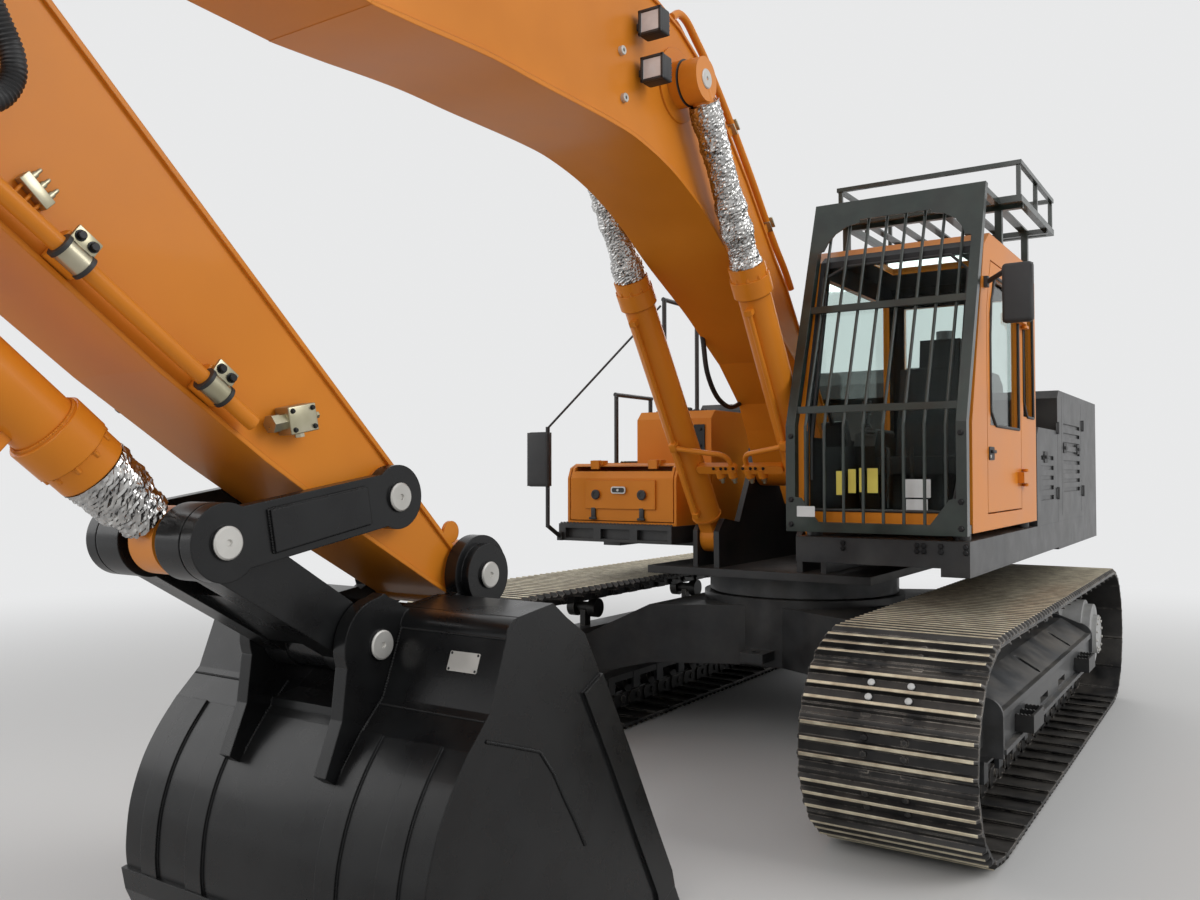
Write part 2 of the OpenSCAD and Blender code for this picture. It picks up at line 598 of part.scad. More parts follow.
// Side view of the cab; the front pillar leans back
function lean_x(z) = cab_front - cab_lean * max(0, z - 2050) / (cab_roof - 2050);
module cab_profile(d) {
    polygon([[cab_back + d, cab_floor + d], [cab_front - d, cab_floor + d], [cab_front - d, 2050],
        [lean_x(cab_roof - 90) - d, cab_roof - 90], [lean_x(cab_roof) - 110, cab_roof - d],
        [cab_back + 90, cab_roof - d], [cab_back + d, cab_roof - 90]]);
}
cab_out = cab_y + cab_w;
hinge_x = door_back - 10;
hinge_y = cab_out + 22;
hinge_z = [1760, 2760];
module door_outline(d) {
    polygon([[door_back + d, cab_floor + 90 + d], [door_front - d, cab_floor + 90 + d],
        [door_front - d, 2700], [door_front - 110 - d, cab_roof - 150 - d], [door_back + d, cab_roof - 150 - d]]);
}
module cab_shell() {
    color([0.9, 0.5, 0.1]) home() difference() {
        slab(cab_y, cab_out) cab_profile(0);
        slab(cab_y + wall, cab_out - wall) cab_profile(wall);
        // Windscreen
        block(cab_front - 700, cab_front + 1, cab_y + 75, cab_out - 75, cab_floor + 110, cab_roof - 130);
        // Doorway, side windows and rear window
        slab(cab_out - wall - 1, cab_out + 1) door_outline(0);
        slab(cab_out - wall - 1, cab_out + 1) polygon([[cab_back + 90, 2150], [door_back - 70, 2150],
            [door_back - 70, cab_roof - 170], [cab_back + 110, cab_roof - 170]]);
        slab(cab_y - 1, cab_y + wall + 1) polygon([[cab_back + 130, 2000], [cab_front - 170, 2000],
            [lean_x(cab_roof - 170) - 170, cab_roof - 170], [cab_back + 130, cab_roof - 170]]);
        block(cab_back - 1, cab_back + wall + 1, cab_y + 130, cab_out - 130, 2150, cab_roof - 190);
        // Roof hatch
        block(200, 700, cab_y + 230, cab_out - 230, cab_roof - 60, cab_roof + 1);
    }
    // Door hinge pins on brackets at the rear of the doorway
    color([0.06, 0.06, 0.07]) home() for (z = hinge_z) translate([hinge_x, hinge_y, z]) {
        cylinder(r = 9, h = 110, center = true);
        for (s = [-1, 1]) translate([0, 0, s * 46]) {
            cylinder(r = 16, h = 18, center = true);
            block(-60, 0, cab_out - hinge_y - 0.01, 16, -9, 9);
        }
    }
}
module cab_glass() {
    color([0.3, 0.36, 0.36, 0.5]) home() {
        g = 12;
        slab(cab_y + 75.3, cab_out - 75.3) difference() {
            polygon([[cab_front - g, cab_floor + 110.3], [cab_front - g, 2050], [lean_x(cab_roof - 130.3) - g, cab_roof - 130.3],
                [lean_x(cab_roof - 130.3) - g - glass_t, cab_roof - 130.3], [cab_front - g - glass_t, 2050],
                [cab_front - g - glass_t, cab_floor + 110.3]]);
        }
        slab(cab_out - 25 - glass_t, cab_out - 25) polygon([[cab_back + 90.3, 2150.3], [door_back - 70.3, 2150.3],
            [door_back - 70.3, cab_roof - 170.3], [cab_back + 110.3, cab_roof - 170.3]]);
        slab(cab_y + 20, cab_y + 20 + glass_t) polygon([[cab_back + 130.3, 2000.3], [cab_front - 170.3, 2000.3],
            [lean_x(cab_roof - 170.3) - 170.3, cab_roof - 170.3], [cab_back + 130.3, cab_roof - 170.3]]);
        block(cab_back + 20, cab_back + 20 + glass_t, cab_y + 130.3, cab_out - 130.3, 2150.3, cab_roof - 190.3);
        block(200.3, 699.7, cab_y + 230.3, cab_out - 230.3, cab_roof - 40, cab_roof - 40 + glass_t);
    }
}
seat_y = cab_y + cab_w / 2;
module operator_seat() {
    color([0.08, 0.08, 0.09]) home() {
        z = cab_floor + wall + 0.3;
        block(150, 550, seat_y - 170, seat_y + 170, z, z + 260);
        slab(seat_y - 250, seat_y + 250) polygon([[120, z + 260], [640, z + 260], [650, z + 370], [230, z + 380],
            [110, z + 960], [20, z + 940], [90, z + 380]]);
        slab(seat_y - 130, seat_y + 130) polygon([[20, z + 950], [95, z + 955], [70, z + 1150], [0, z + 1140]]);
    }
}
module control_consoles() {
    color([0.1, 0.1, 0.11]) home() {
        z = cab_floor + wall + 0.3;
        for (s = [-1, 1]) {
            y = seat_y + s * 350;
            slab(y - 70, y + 70) polygon([[60, z], [420, z], [560, z + 440], [520, z + 520], [60, z + 500]]);
            translate([500, y, z + 480]) cylinder(r = 16, h = 170);
            translate([500, y, z + 640]) cylinder(r = 30, h = 90);
        }
        // Travel pedals and levers at the front
        for (s = [-1, 1]) {
            translate([960, seat_y + s * 70, z]) cylinder(r = 12, h = 420);
            block(900, 1080, seat_y + s * 70 - 45, seat_y + s * 70 + 45, z, z + 35);
        }
    }
}

// Front guard: two posts lean back, round bars between plates with arched cut-outs
guard_x = 1450;
guard_y = cab_y - 8;
guard_z0 = 1460;
guard_top = [960, 3430];
guard_d = [guard_top[0] - guard_x, 0, guard_top[1] - 2060];
function guard_at(z) = z < 2060 ? guard_x : guard_x + (guard_top[0] - guard_x) * (z - 2060) / (guard_top[1] - 2060);
module guard_plane(y0, y1, t) slab(y0, y1) polygon([[guard_x - t, guard_z0], [guard_x, guard_z0], [guard_x, 2060],
    [guard_top[0], guard_top[1]], [guard_top[0] - t, guard_top[1]], [guard_x - t, 2060]]);
module front_guard() {
    color([0.05, 0.07, 0.06]) home() {
        for (y = [guard_y, cab_out - 55]) guard_plane(y, y + 55, 55);
        block(guard_x - 50, guard_x, guard_y, cab_out, guard_z0, guard_z0 + 55);
        for (i = [1 : bar_count]) {
            y = guard_y + i * (cab_out - guard_y) / (bar_count + 1);
            pipe([guard_x - 20, y, guard_z0 + 20], [guard_x - 20, y, 2060], bar_r);
            pipe([guard_x - 20, y, 2050], [guard_top[0] - 20, y, guard_top[1] - 60], bar_r);
        }
        for (z = [2150, 2750]) block(guard_at(z) - 34, guard_at(z) - 8, guard_y + 10, cab_out - 10, z - 20, z + 20);
        // Top plate
        intersection() {
            guard_plane(guard_y, cab_out, 12);
            block(800, 1500, guard_y, cab_out, guard_top[1] - 130, guard_top[1]);
        }
        // Arched gussets at the top corners and plain ones at the bottom
        for (s = [0, 1]) translate([0, s * (guard_y + cab_out), 0]) scale([1, 1 - 2 * s, 1]) {
            intersection() {
                guard_plane(guard_y, guard_y + 330, 10);
                bar_x(800, 1500) polygon([for (q = [[40, -1], [300, -1], [290, -150], [215, -165], [150, -205], [110, -260], [90, -310], [40, -320]])
                    [guard_y + q[0], guard_top[1] + q[1]]]);
            }
            bar_x(guard_x - 12, guard_x) polygon([for (q = [[40, 20], [230, 20], [190, 56], [90, 190], [40, 200]]) [guard_y + q[0], guard_z0 + q[1]]]);
        }
        // Arms that hold the guard on the cab
        for (y = [guard_y + 4, cab_out - 50]) {
            block(cab_front + seat, guard_x - 40, y + 5, y + 45, cab_floor, cab_floor + 45);
        }
    }
}
// Roof guard: a basket of two rail frames on legs, wider than the roof on the door side
basket_x = [-460, 600];
basket_z = [3380, 3600];
basket_out = 1610;
slat_count = 6;
module rail_ring(z, t) {
    for (y = [guard_y, basket_out - t]) block(basket_x[0], basket_x[1], y, y + t, z, z + t);
    for (x = [basket_x[0], basket_x[1] - t]) block(x, x + t, guard_y, basket_out, z, z + t);
}
module roof_guard() {
    color([0.05, 0.07, 0.06]) home() {
        rail_ring(basket_z[0], 40);
        rail_ring(basket_z[1], 26);
        for (x = [basket_x[0] + 8, 60, basket_x[1] - 32]) for (y = [guard_y + 8, basket_out - 32])
            block(x, x + 24, y, y + 24, basket_z[0] + 20, basket_z[1] + 5);
        for (i = [1 : slat_count]) {
            y = guard_y + i * (basket_out - guard_y) / (slat_count + 1);
            block(basket_x[0] + 20, basket_x[1] - 20, y - 25, y + 25, basket_z[0] + 12, basket_z[0] + 24);
        }
        for (x = [cab_back + 130, 480]) for (y = [guard_y + 10, cab_out - 50])
            block(x, x + 40, y, y + 40, cab_roof + seat, basket_z[0] + 10);
        for (x = [cab_back + 130, 480]) block(x, x + 40, guard_y + 10, basket_out - 10, basket_z[0] - 20, basket_z[0] + 12);
        // Arms to the top of the front guard
        for (y = [guard_y + 4, cab_out - 48])
            block(basket_x[1] - 20, guard_at(basket_z[0] + 36) - 55 - 1, y, y + 40, basket_z[0], basket_z[0] + 36);
    }
}
module door() {
    color([0.9, 0.5, 0.1]) home() {
        for (z = hinge_z) translate([hinge_x, hinge_y, z]) difference() {
            union() {
                cylinder(r = 16, h = 70, center = true);
                block(0, 130, cab_out - hinge_y + 8, 16, -35, 35);
                block(50, 130, cab_out - hinge_y - 0.01, 16, -35, 35);
            }
            cylinder(r = 9 + run_gap, h = 80, center = true);
        }
        difference() {
            slab(cab_out - 45, cab_out) door_outline(8);
            slab(cab_out - 46, cab_out + 1) polygon([[door_back + 80, 2060], [door_front - 80, 2060],
                [door_front - 80, 2690], [door_front - 180, cab_roof - 230], [door_back + 80, cab_roof - 230]]);
        }
    }
}
module door_glass() {
    color([0.3, 0.36, 0.36, 0.5]) home() slab(cab_out - 26 - glass_t, cab_out - 26) polygon([[door_back + 80.3, 2060.3],
        [door_front - 80.3, 2060.3], [door_front - 80.3, 2690], [door_front - 180.3, cab_roof - 230.3], [door_back + 80.3, cab_roof - 230.3]]);
}
module mirror_right() {
    color([0.06, 0.06, 0.07]) home() {
        pipe([step_front + 15, -1472, 1340], [1080, -1472, 1420], 15);
        pipe([1080, -1472, 1410], [1080, -1472, 2120], 15);
        block(1062, 1112, -1630, -1452, 1700, 2080);
        block(step_front + seat, step_front + 24, -1490, -1450, 1310, 1370);
        // Stay from the post's top to the tall hand rail
        pipe([1080, -1472, 2110], [268, -1016, 3050], 8);
    }
}
module mirror_left() {
    color([0.06, 0.06, 0.07]) home() {
        block(1000, 1040, cab_out + seat, cab_out + 22, 2820, 2880);
        pipe([1020, cab_out + 18, 2850], [1120, cab_out + 165, 2900], 14);
        pipe([1120, cab_out + 165, 2905], [1120, cab_out + 165, 2800], 14);
        slab(cab_out + 120, side_y + 270) polygon([[1095, 2610], [1140, 2600], [1150, 2900], [1105, 2915]]);
    }
}
module hand_rails() {
    color([0.06, 0.06, 0.07]) home() {
        // One row a rail: place across, foot, height
        for (q = [[-side_y + 60, tank_z - 380, 530], [-1000, tank_z, 850]]) {
            for (x = [-280, 240]) pipe([x, q[0], q[1] + seat], [x, q[0], q[1] + q[2]], rail_r);
            pipe([-280 - rail_r, q[0], q[1] + q[2]], [240 + rail_r, q[0], q[1] + q[2]], rail_r);
        }
    }
}
rail_r = 17;

// Plate girder: the side plates lie a little behind the edges of the flanges
module girder(half, line) difference() {
    slab(-half, half) polygon(line);
    both() slab(half - lip_d, half + 1) offset(delta = -lip_w) polygon(line);
}
// Boom outline in its own frame as [along, above], from the foot along the underside
boom_line = [[60, -foot_r + 22], [330, 150], [485, 290], [850, 450], [1326, 581], [1876, 681], [2234, 764],
        [2578, 799], [2904, 777], [3169, 720], [3659, 577], [4043, 465], [boom_len - 1706, 259],
        [boom_len - 600, 0], [boom_len - 8, -tip_r + 8], [boom_len + 50, tip_r - 15], [boom_len - 260, 296],
        [3760, 1330], [3443, 1443], [3200, 1510], [2951, 1548], [2720, 1562], [2520, 1535], [2312, 1460],
        [1771, 1212], [1287, 947], [1075, 850], [-102, 94]];
module boom_disc(p, r, y0, y1) disc_y(on_boom(p), r, y0, y1);
slot_y = arm_y + side_gap;
module boom() {
    color([0.9, 0.5, 0.1]) home() {
        difference() {
            union() {
                in_boom() girder(boom_y, boom_line);
                boom_disc([0, 0], foot_r, -boom_y + 4, boom_y - 4);
                boom_disc([boom_len, 0], tip_r, -boom_y, boom_y);
                // Thicker plate round the cylinder boss
                boom_disc(jack_eye, 190, -boom_y + 2, boom_y - 2);
                // Cylinder boss through the boom, and the arm cylinder bracket
                boom_disc(jack_eye, 118, -jack_in + 4, jack_in - 4);
                in_boom() both() slab(tube_r + 10 + side_gap, tube_r + 10 + side_gap + 44) polygon([[dip_foot[0] - 420, 1480],
                    [dip_foot[0] - 110, dip_foot[1] + 60], [dip_foot[0] + 60, dip_foot[1] + 100],
                    [dip_foot[0] + 130, dip_foot[1]], [dip_foot[0] + 420, 1330]]);
            }
            boom_disc([0, 0], pin_r + run_gap, -boom_y - 1, boom_y + 1);
            // Fork for the arm
            boom_disc([boom_len, 0], 420, -slot_y, slot_y);
        }
        // Tip pin and arm cylinder pin
        boom_disc([boom_len, 0], pin_r, -boom_y - 8, boom_y + 8);
        both() boom_disc(dip_foot, pin_r, -1, tube_r + side_gap + 64);
    }
}
module boom_lines() {
    color([0.85, 0.42, 0.08]) home() in_boom() {
        for (s = [-1, 1]) {
            y = s * 190;
            pipe_run([[1150, y, 926], [1771, y, 1262], [2312, y, 1510], [2520, y, 1590], [2720, y, 1622]], 20);
            for (q = [[1300, 1007], [2050, 1390]]) translate([q[0], y, q[1]]) rotate([0, -26, 0])
                block(-35, 35, -40, 40, -44, 32);
        }
    }
}
module work_lamps() {
    color([0.05, 0.05, 0.06]) home() in_boom() for (q = [[3068, 1302], [2987, 1096]])
        translate([q[0], boom_y - lip_d + seat, q[1]]) rotate([0, boom_tilt, 0]) {
            block(-15, 15, 0, 30, -15, 15);
            block(-45, 45, 25, 150, -62, 62);
        }
}

// Cylinder tube from pin a towards pin b
module jack_tube(a, b, len, r, bore, y, w, side = 1) {
    translate([a[0], y, a[1]]) rotate([0, 90 - turn(b - a), 0]) difference() {
        union() {
            rotate([90, 0, 0]) cylinder(r = r + 8, h = w, center = true);
            translate([-r * 0.7, -w * 0.44, 0]) cube([1.4 * r, w * 0.88, r + 90]);
            translate([0, 0, r + 70]) cylinder(r = r, h = len - r - 70);
            translate([0, 0, len - 180]) cylinder(r = r + 10, h = 180);
            // Oil pipe along the tube
            translate([side * (r + 22), 0, r + 160]) cylinder(r = 14, h = len - r - 390);
            for (z = [r + 170, len - 240]) translate([side * (r + 44) / 2, 0, z]) cube([r + 44, 44, 32], center = true);
        }
        rotate([90, 0, 0]) cylinder(r = pin_r + run_gap, h = w + 2, center = true);
        translate([0, 0, r + 150]) cylinder(r = bore + 0.1, h = len);
    }
}
// Rod from its eye at pin b back towards pin a; the eye is solid and owns its pin
module jack_rod(a, b, len, y, w, eye_r) {
    translate([b[0], y, b[1]]) rotate([0, 90 - turn(b - a), 0]) {
        rotate([90, 0, 0]) cylinder(r = eye_r, h = w, center = true);
        translate([0, 0, -len]) cylinder(r = rod_r, h = len);
    }
}
boom_jack_len = 1920;
boom_rod_len = 1780;
module boom_jack_tubes() {
    color([0.9, 0.5, 0.1]) home() for (s = [-1, 1])
        jack_tube(jack, on_boom(jack_eye), boom_jack_len, tube_r, rod_r, s * jack_y, eye_w);
}
module boom_jack_rods() {
    color([0.75, 0.75, 0.75]) home() for (s = [-1, 1])
        jack_rod(jack, on_boom(jack_eye), boom_rod_len, s * jack_y, eye_w, 112);
}
crowd_len = 2450;
crowd_rod_len = 2050;
module crowd_tube() {
    color([0.9, 0.5, 0.1]) home() jack_tube(on_boom(dip_foot), on_arm(crowd_eye), crowd_len, tube_r + 10, rod_r, 0, 2 * tube_r + 20, -1);
}
module crowd_rod() {
    color([0.75, 0.75, 0.75]) home() jack_rod(on_boom(dip_foot), on_arm(crowd_eye), crowd_rod_len, 0, 140, 115);
}
curl_len = 1700;
curl_rod_len = 1580;
module curl_tube() {
    color([0.9, 0.5, 0.1]) home() jack_tube(on_arm(curl_foot), on_arm(link_pin), curl_len, tube_r, rod_r, 0, 2 * tube_r, -1);
}
module curl_rod() {
    color([0.75, 0.75, 0.75]) home() jack_rod(on_arm(curl_foot), on_arm(link_pin), curl_rod_len, 0, 120, 105);
}

// Arm outline in its own frame as [up, out towards the bucket cylinder]
arm_line = [[20, 16], [2700, 16], [arm_len - 210, 70], [arm_len - 60, elbow_r - 10], [arm_len + 60, elbow_r - 10],
        [crowd_eye[0] + 30, -crowd_eye[1] + 140], [crowd_eye[0] + 90, -crowd_eye[1] - 110], [3560, -650],
        [3250, -655], [2900, -632], [2600, -600], [2300, -555], [1943, -505], [1426, -440], [986, -362], [528, -262],
        [150, -165], [0, -nose_r + 4]];
module arm() {
    color([0.9, 0.5, 0.1]) home() {
        difference() {
            union() {
                in_arm() girder(arm_y, arm_line);
                for (q = [[[0, 0], nose_r], [[arm_len, 0], elbow_r], [crowd_eye, crowd_boss], [lever_pin, lever_r - 8]])
                    disc_y(on_arm(q[0]), q[1], -arm_y, arm_y);
                // Stop lug beside the bucket pin
                in_arm() both() slab(arm_y - lip_d - 1, arm_y) translate([190, 45]) circle(r = 42);
                // Bucket cylinder bracket
                in_arm() both() slab(tube_r + side_gap, tube_r + side_gap + 40) polygon([[curl_foot[0] - 380, -600],
                    [curl_foot[0] - 120, -curl_foot[1] - 60], [curl_foot[0], -curl_foot[1] - 130],
                    [curl_foot[0] + 120, -curl_foot[1] - 60], [curl_foot[0] + 330, -640]]);
            }
            for (p = [[arm_len, 0], [0, 0], lever_pin]) disc_y(on_arm(p), pin_r + run_gap, -arm_y - 1, arm_y + 1);
            // Slot for the arm cylinder's eye
            in_arm() slab(-80, 80) polygon([[crowd_eye[0] - 620, 330], [crowd_eye[0] - 440, -60], [crowd_eye[0] - 460, -crowd_eye[1] - 90],
                [crowd_eye[0] - 200, -crowd_eye[1] - 230], [crowd_eye[0] + 300, -crowd_eye[1] - 230], [crowd_eye[0] + 300, 260]]);
        }
        // Bucket cylinder pin, and the ends of the arm cylinder pin
        both() disc_y(on_arm(curl_foot), pin_r, -1, tube_r + side_gap + 50);
        both() disc_y(on_arm(crowd_eye), pin_r, arm_y - 30, arm_y + 8);
    }
}
module arm_lines() {
    color([0.9, 0.5, 0.1]) home() in_arm() {
        y = arm_y + 42;
        both() {
            pipe([1110, y, -335], [2500, y, -531], 26);
            for (q = [[1285, -360], [1801, -432], [2350, -510]]) translate([q[0], y, q[1]]) rotate([0, 8, 0])
                block(-45, 45, -42 - lip_d + seat, 34, -30, 60);
        }
        // Line rupture valve at the lower end of the left pipe
        pipe([1118, y, -346], [1030, y, -228], 20);
        translate([1008, 0, -197]) rotate([0, 55.8, 0]) block(-55, 55, arm_y - lip_d + seat, arm_y + 78, -45, 45);
    }
}

// Bucket linkage
lever_y = arm_y + side_gap;
module strap(p, q, r0, r1, y0, y1) {
    slab(y0, y1) {
        u = (q - p) / norm(q - p);
        n = [-u[1], u[0]];
        polygon([p + n * r0 * 0.8, p - n * r0 * 0.8, q - n * r1 * 0.8, q + n * r1 * 0.8]);
        translate(p) circle(r = r0);
        translate(q) circle(r = r1);
    }
}
module link_levers() {
    color([0.05, 0.05, 0.05]) home() {
        a = on_arm(lever_pin);
        k = on_arm(link_pin);
        for (s = [-1, 1]) {
            y0 = s > 0 ? lever_y : -lever_y - lever_t;
            strap(a, k, lever_r, 118, y0, y0 + lever_t);
            // Doubler plate between the bosses
            u = (k - a) / norm(k - a);
            slab(s > 0 ? y0 + lever_t - 1 : y0 - 14, s > 0 ? y0 + lever_t + 14 : y0 + 1)
                polygon([for (q = [[150, -62], [150, 62], [norm(k - a) - 160, 66], [norm(k - a) - 160, -66]]) a + u * q[0] + [-u[1], u[0]] * q[1]]);
        }
        // Pins: the arm's lever pin turns in the arm, the link pin's ends sit in the levers
        disc_y(a, pin_r, -lever_y - lever_t - 8, lever_y + lever_t + 8);
        for (s = [-1, 1]) disc_y(k, pin_r, s > 0 ? lever_y - 40 : -lever_y - lever_t - 8, s > 0 ? lever_y + lever_t + 8 : -lever_y + 40);
    }
}
bucket_eye = nose + link_eye;
module bucket_link() {
    color([0.05, 0.05, 0.05]) home() {
        k = on_arm(link_pin);
        for (s = [-1, 1]) difference() {
            union() {
                strap(k, bucket_eye, 118, 108, s > 0 ? 95 : -lever_y + 6, s > 0 ? lever_y - 6 : -95);
            }
            disc_y(k, pin_r + run_gap, s > 0 ? lever_y - 41 : -lever_y - 1, s > 0 ? lever_y + 1 : -lever_y + 41);
        }
        c = (k * 0.42 + bucket_eye * 0.58);
        u = (bucket_eye - k) / norm(bucket_eye - k);
        slab(-96, 96) polygon([for (q = [[-170, -70], [150, -84], [190, -60], [190, 60], [150, 84], [-170, 70]]) c + u * q[0] + [-u[1], u[0]] * q[1]]);
        disc_y(bucket_eye, 100, -96, 96);
    }
}

// Bucket outline in its own frame, from the top round the back to the lip
shell_line = [[180, -60], [372, -84], [436, -150], [520, -372], [618, -470], [700, -575], [764, -690], [808, -830], [822, -975],
    [808, -1110], [762, -1225], [690, -1312], [600, -1372], [500, -nose[1] + 10], [-640, -nose[1] + 1], [-720, -nose[1] + 1]];
// Part of the shell that wears on the ground, from the back down to the heel
heel_line = [[816, -1060], [800, -1140], [762, -1225], [690, -1312], [600, -1372], [500, -nose[1] + 10]];
function shifted(line, d) = [for (i = [0 : len(line) - 1])
    let(a = line[max(0, i - 1)], b = line[min(len(line) - 1, i + 1)], u = (b - a) / norm(b - a)) line[i] + [-u[1], u[0]] * d];
function flipped(line) = [for (i = [len(line) - 1 : -1 : 0]) line[i]];
function band(line, d0, d1) = concat(shifted(line, d0), flipped(shifted(line, d1)));
mouth_cut = [[-640, -1290], [-620, -1225], [-470, -965], [-300, -665], [-110, -345]];
mouth_line = [[-620, -1225], [-470, -965], [-300, -665], [-110, -345], [-10, -185], [100, -118]];
// Floor of the recess that the bucket link folds into, between the ears
well_line = [[110, -118], [250, -150], [330, -250], [400, -345], [470, -400], [590, -418]];
module bucket() {
    color([0.05, 0.05, 0.05]) home() in_bucket() {
        by = bucket_w / 2;
        ear_in = arm_y + side_gap;
        difference() {
            slab(-by, by) polygon(concat(shell_line, mouth_line));
            slab(-by + cheek_t, by - cheek_t) offset(delta = -shell_t) polygon(concat(shell_line, [[-900, -nose[1] + 1], [-1400, -900], [-600, 200]]));
            // Recess between the ears for the bucket link
            slab(-ear_in, ear_in) {
                circle(r = nose_r + 12);
                polygon(concat([[90, 140]], well_line, [[760, -418], [760, 140]]));
            }
        }
        // Rounded top of the torsion box
        both() slab(ear_in, by - 1) translate([374, -148]) circle(r = 62);
        // Heel plate, a little wider than the shell, and wear straps up the back
        slab(-by - 14, by + 14) polygon(band(heel_line, -4, 16));
        for (y = [-by + 150, -330, 330, by - 150]) slab(y - 45, y + 45)
            polygon(band([[618, -470], [700, -575], [764, -690], [808, -830], [822, -975], [816, -1060]], -4, 9));
        // Thick front edges of the side plates
        both() slab(by - cheek_t, by + 14) polygon(concat(mouth_cut, flipped([for (q = mouth_cut) q + [118, -52]])));
        // Cross tube and plate that close the recess
        slab(-ear_in - 10, ear_in + 10) polygon(concat(well_line, [[596, -446], [462, -428], [382, -366], [308, -266],
            [236, -176], [100, -150]]));
        for (s = [-1, 1]) {
            slab(s > 0 ? ear_in : -ear_in - ear_t, s > 0 ? ear_in + ear_t : -ear_in) {
                circle(r = 150);
                translate(link_eye) circle(r = 160);
                difference() {
                    polygon([[40, 144], [link_eye[0] + 20, link_eye[1] + 158], [link_eye[0] + 150, link_eye[1] - 60],
                        [700, -420], [770, -590], [700, -640], [450, -420], [100, -140], [-40, -140]]);
                    translate([300, 230]) circle(r = 330);
                }
            }
        }
        // Outer bosses on the bucket pin
        both() disc_y([0, 0], 118, ear_in + ear_t - 1, ear_in + ear_t + 34);
        // Bucket pin, and the ends of the link pin
        disc_y([0, 0], pin_r, -ear_in - ear_t - 42, ear_in + ear_t + 42);
        for (s = [-1, 1]) disc_y(link_eye, pin_r, s > 0 ? ear_in - 3 : -ear_in - ear_t - 8, s > 0 ? ear_in + ear_t + 8 : -ear_in + 3);
    }
}

car_body();
swing_ring();
track_frame(1);  // track_frame_left
track_frame(-1);  // track_frame_right
track(1);  // track_left
track(-1);  // track_right
lower_rollers();
carrier_rollers();
idlers();
final_drives();
frame_steps();
revolving_frame();
slew_race();
swing_drive();
main_valve();
counterweight();
engine_hood();
engine_room(1);  // engine_room_left
engine_room(-1);  // engine_room_right
left_locker();
engine_block();
exhaust_stack();
fuel_tank();
hydraulic_tank();
front_step();
storage_box();
storage_lid();
cab_shell();
cab_glass();
operator_seat();
control_consoles();
front_guard();
roof_guard();
door();
door_glass();
mirror_right();
mirror_left();
hand_rails();
boom();
boom_lines();
work_lamps();
boom_jack_tubes();
boom_jack_rods();
crowd_tube();
crowd_rod();
arm();
arm_lines();
curl_tube();
curl_rod();
link_levers();
bucket_link();
bucket();
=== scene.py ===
import json
import math
import random
import bpy
import bmesh
from mathutils import Euler, Matrix, Vector


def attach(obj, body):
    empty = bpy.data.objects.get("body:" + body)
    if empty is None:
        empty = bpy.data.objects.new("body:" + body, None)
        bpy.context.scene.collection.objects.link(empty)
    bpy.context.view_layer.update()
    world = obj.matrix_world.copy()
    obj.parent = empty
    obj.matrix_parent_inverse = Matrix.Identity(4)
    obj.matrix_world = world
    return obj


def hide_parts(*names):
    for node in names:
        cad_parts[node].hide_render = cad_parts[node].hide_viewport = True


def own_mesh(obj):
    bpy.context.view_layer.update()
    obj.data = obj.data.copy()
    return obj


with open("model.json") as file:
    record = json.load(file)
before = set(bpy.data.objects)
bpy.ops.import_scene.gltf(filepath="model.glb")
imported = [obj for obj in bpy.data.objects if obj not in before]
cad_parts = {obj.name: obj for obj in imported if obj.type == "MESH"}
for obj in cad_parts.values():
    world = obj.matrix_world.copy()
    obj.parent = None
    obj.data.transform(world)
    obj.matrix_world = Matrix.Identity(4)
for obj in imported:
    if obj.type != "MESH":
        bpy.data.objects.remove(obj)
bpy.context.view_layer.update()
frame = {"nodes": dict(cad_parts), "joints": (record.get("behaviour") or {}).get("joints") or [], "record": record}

nodes = frame["nodes"]
joints = {j["name"]: j for j in frame["joints"]}
scene = bpy.context.scene

# The pins of the linkage are read from the joints; lengths are metres, X forward, Y to the cab side
swingX = joints["swing"]["pos_m"][0]
footPin = Vector(joints["boom_lift"]["pos_m"])
tipPin = Vector(joints["arm_out"]["pos_m"])
nosePin = Vector(joints["bucket_curl"]["pos_m"])
jackPin = Vector(joints["boom_tube_tilt"]["pos_m"])
jackEye = Vector(joints["boom_rod_slide"]["pos_m"])
dipFoot = Vector(joints["crowd_tube_tilt"]["pos_m"])
crowdEye = Vector(joints["crowd_rod_slide"]["pos_m"])
curlFoot = Vector(joints["curl_tube_tilt"]["pos_m"])
leverPin = Vector(joints["lever_turn"]["pos_m"])
linkPin = Vector(joints["link_turn"]["pos_m"])
bucketEye = nosePin + Vector((0.530, 0, -0.195))
boomDir = (tipPin - footPin).normalized()
armDir = (tipPin - nosePin).normalized()


def at(x, y, z):
    # A point measured from the swing axis
    return Vector((x + swingX, y, z))


def onBoom(s, h, y=0.0):
    return footPin + boomDir * s + Vector((-boomDir.z, 0, boomDir.x)) * h + Vector((0, y, 0))


def onArm(s, d, y=0.0):
    return nosePin + armDir * s + Vector((armDir.z, 0, -armDir.x)) * d + Vector((0, y, 0))


# Stage and camera
stageValues = {
    "eye": (6.879, 2.800, 1.791), "yaw": 213.43, "pitch": 1.31, "roll": -0.07, "lens": 30.45,
    "floorColour": (0.62, 0.61, 0.59), "backColour": (0.90, 0.905, 0.91), "worldLight": 0.50, "fadeFrom": 5.0, "fadeTo": 13.0,
}


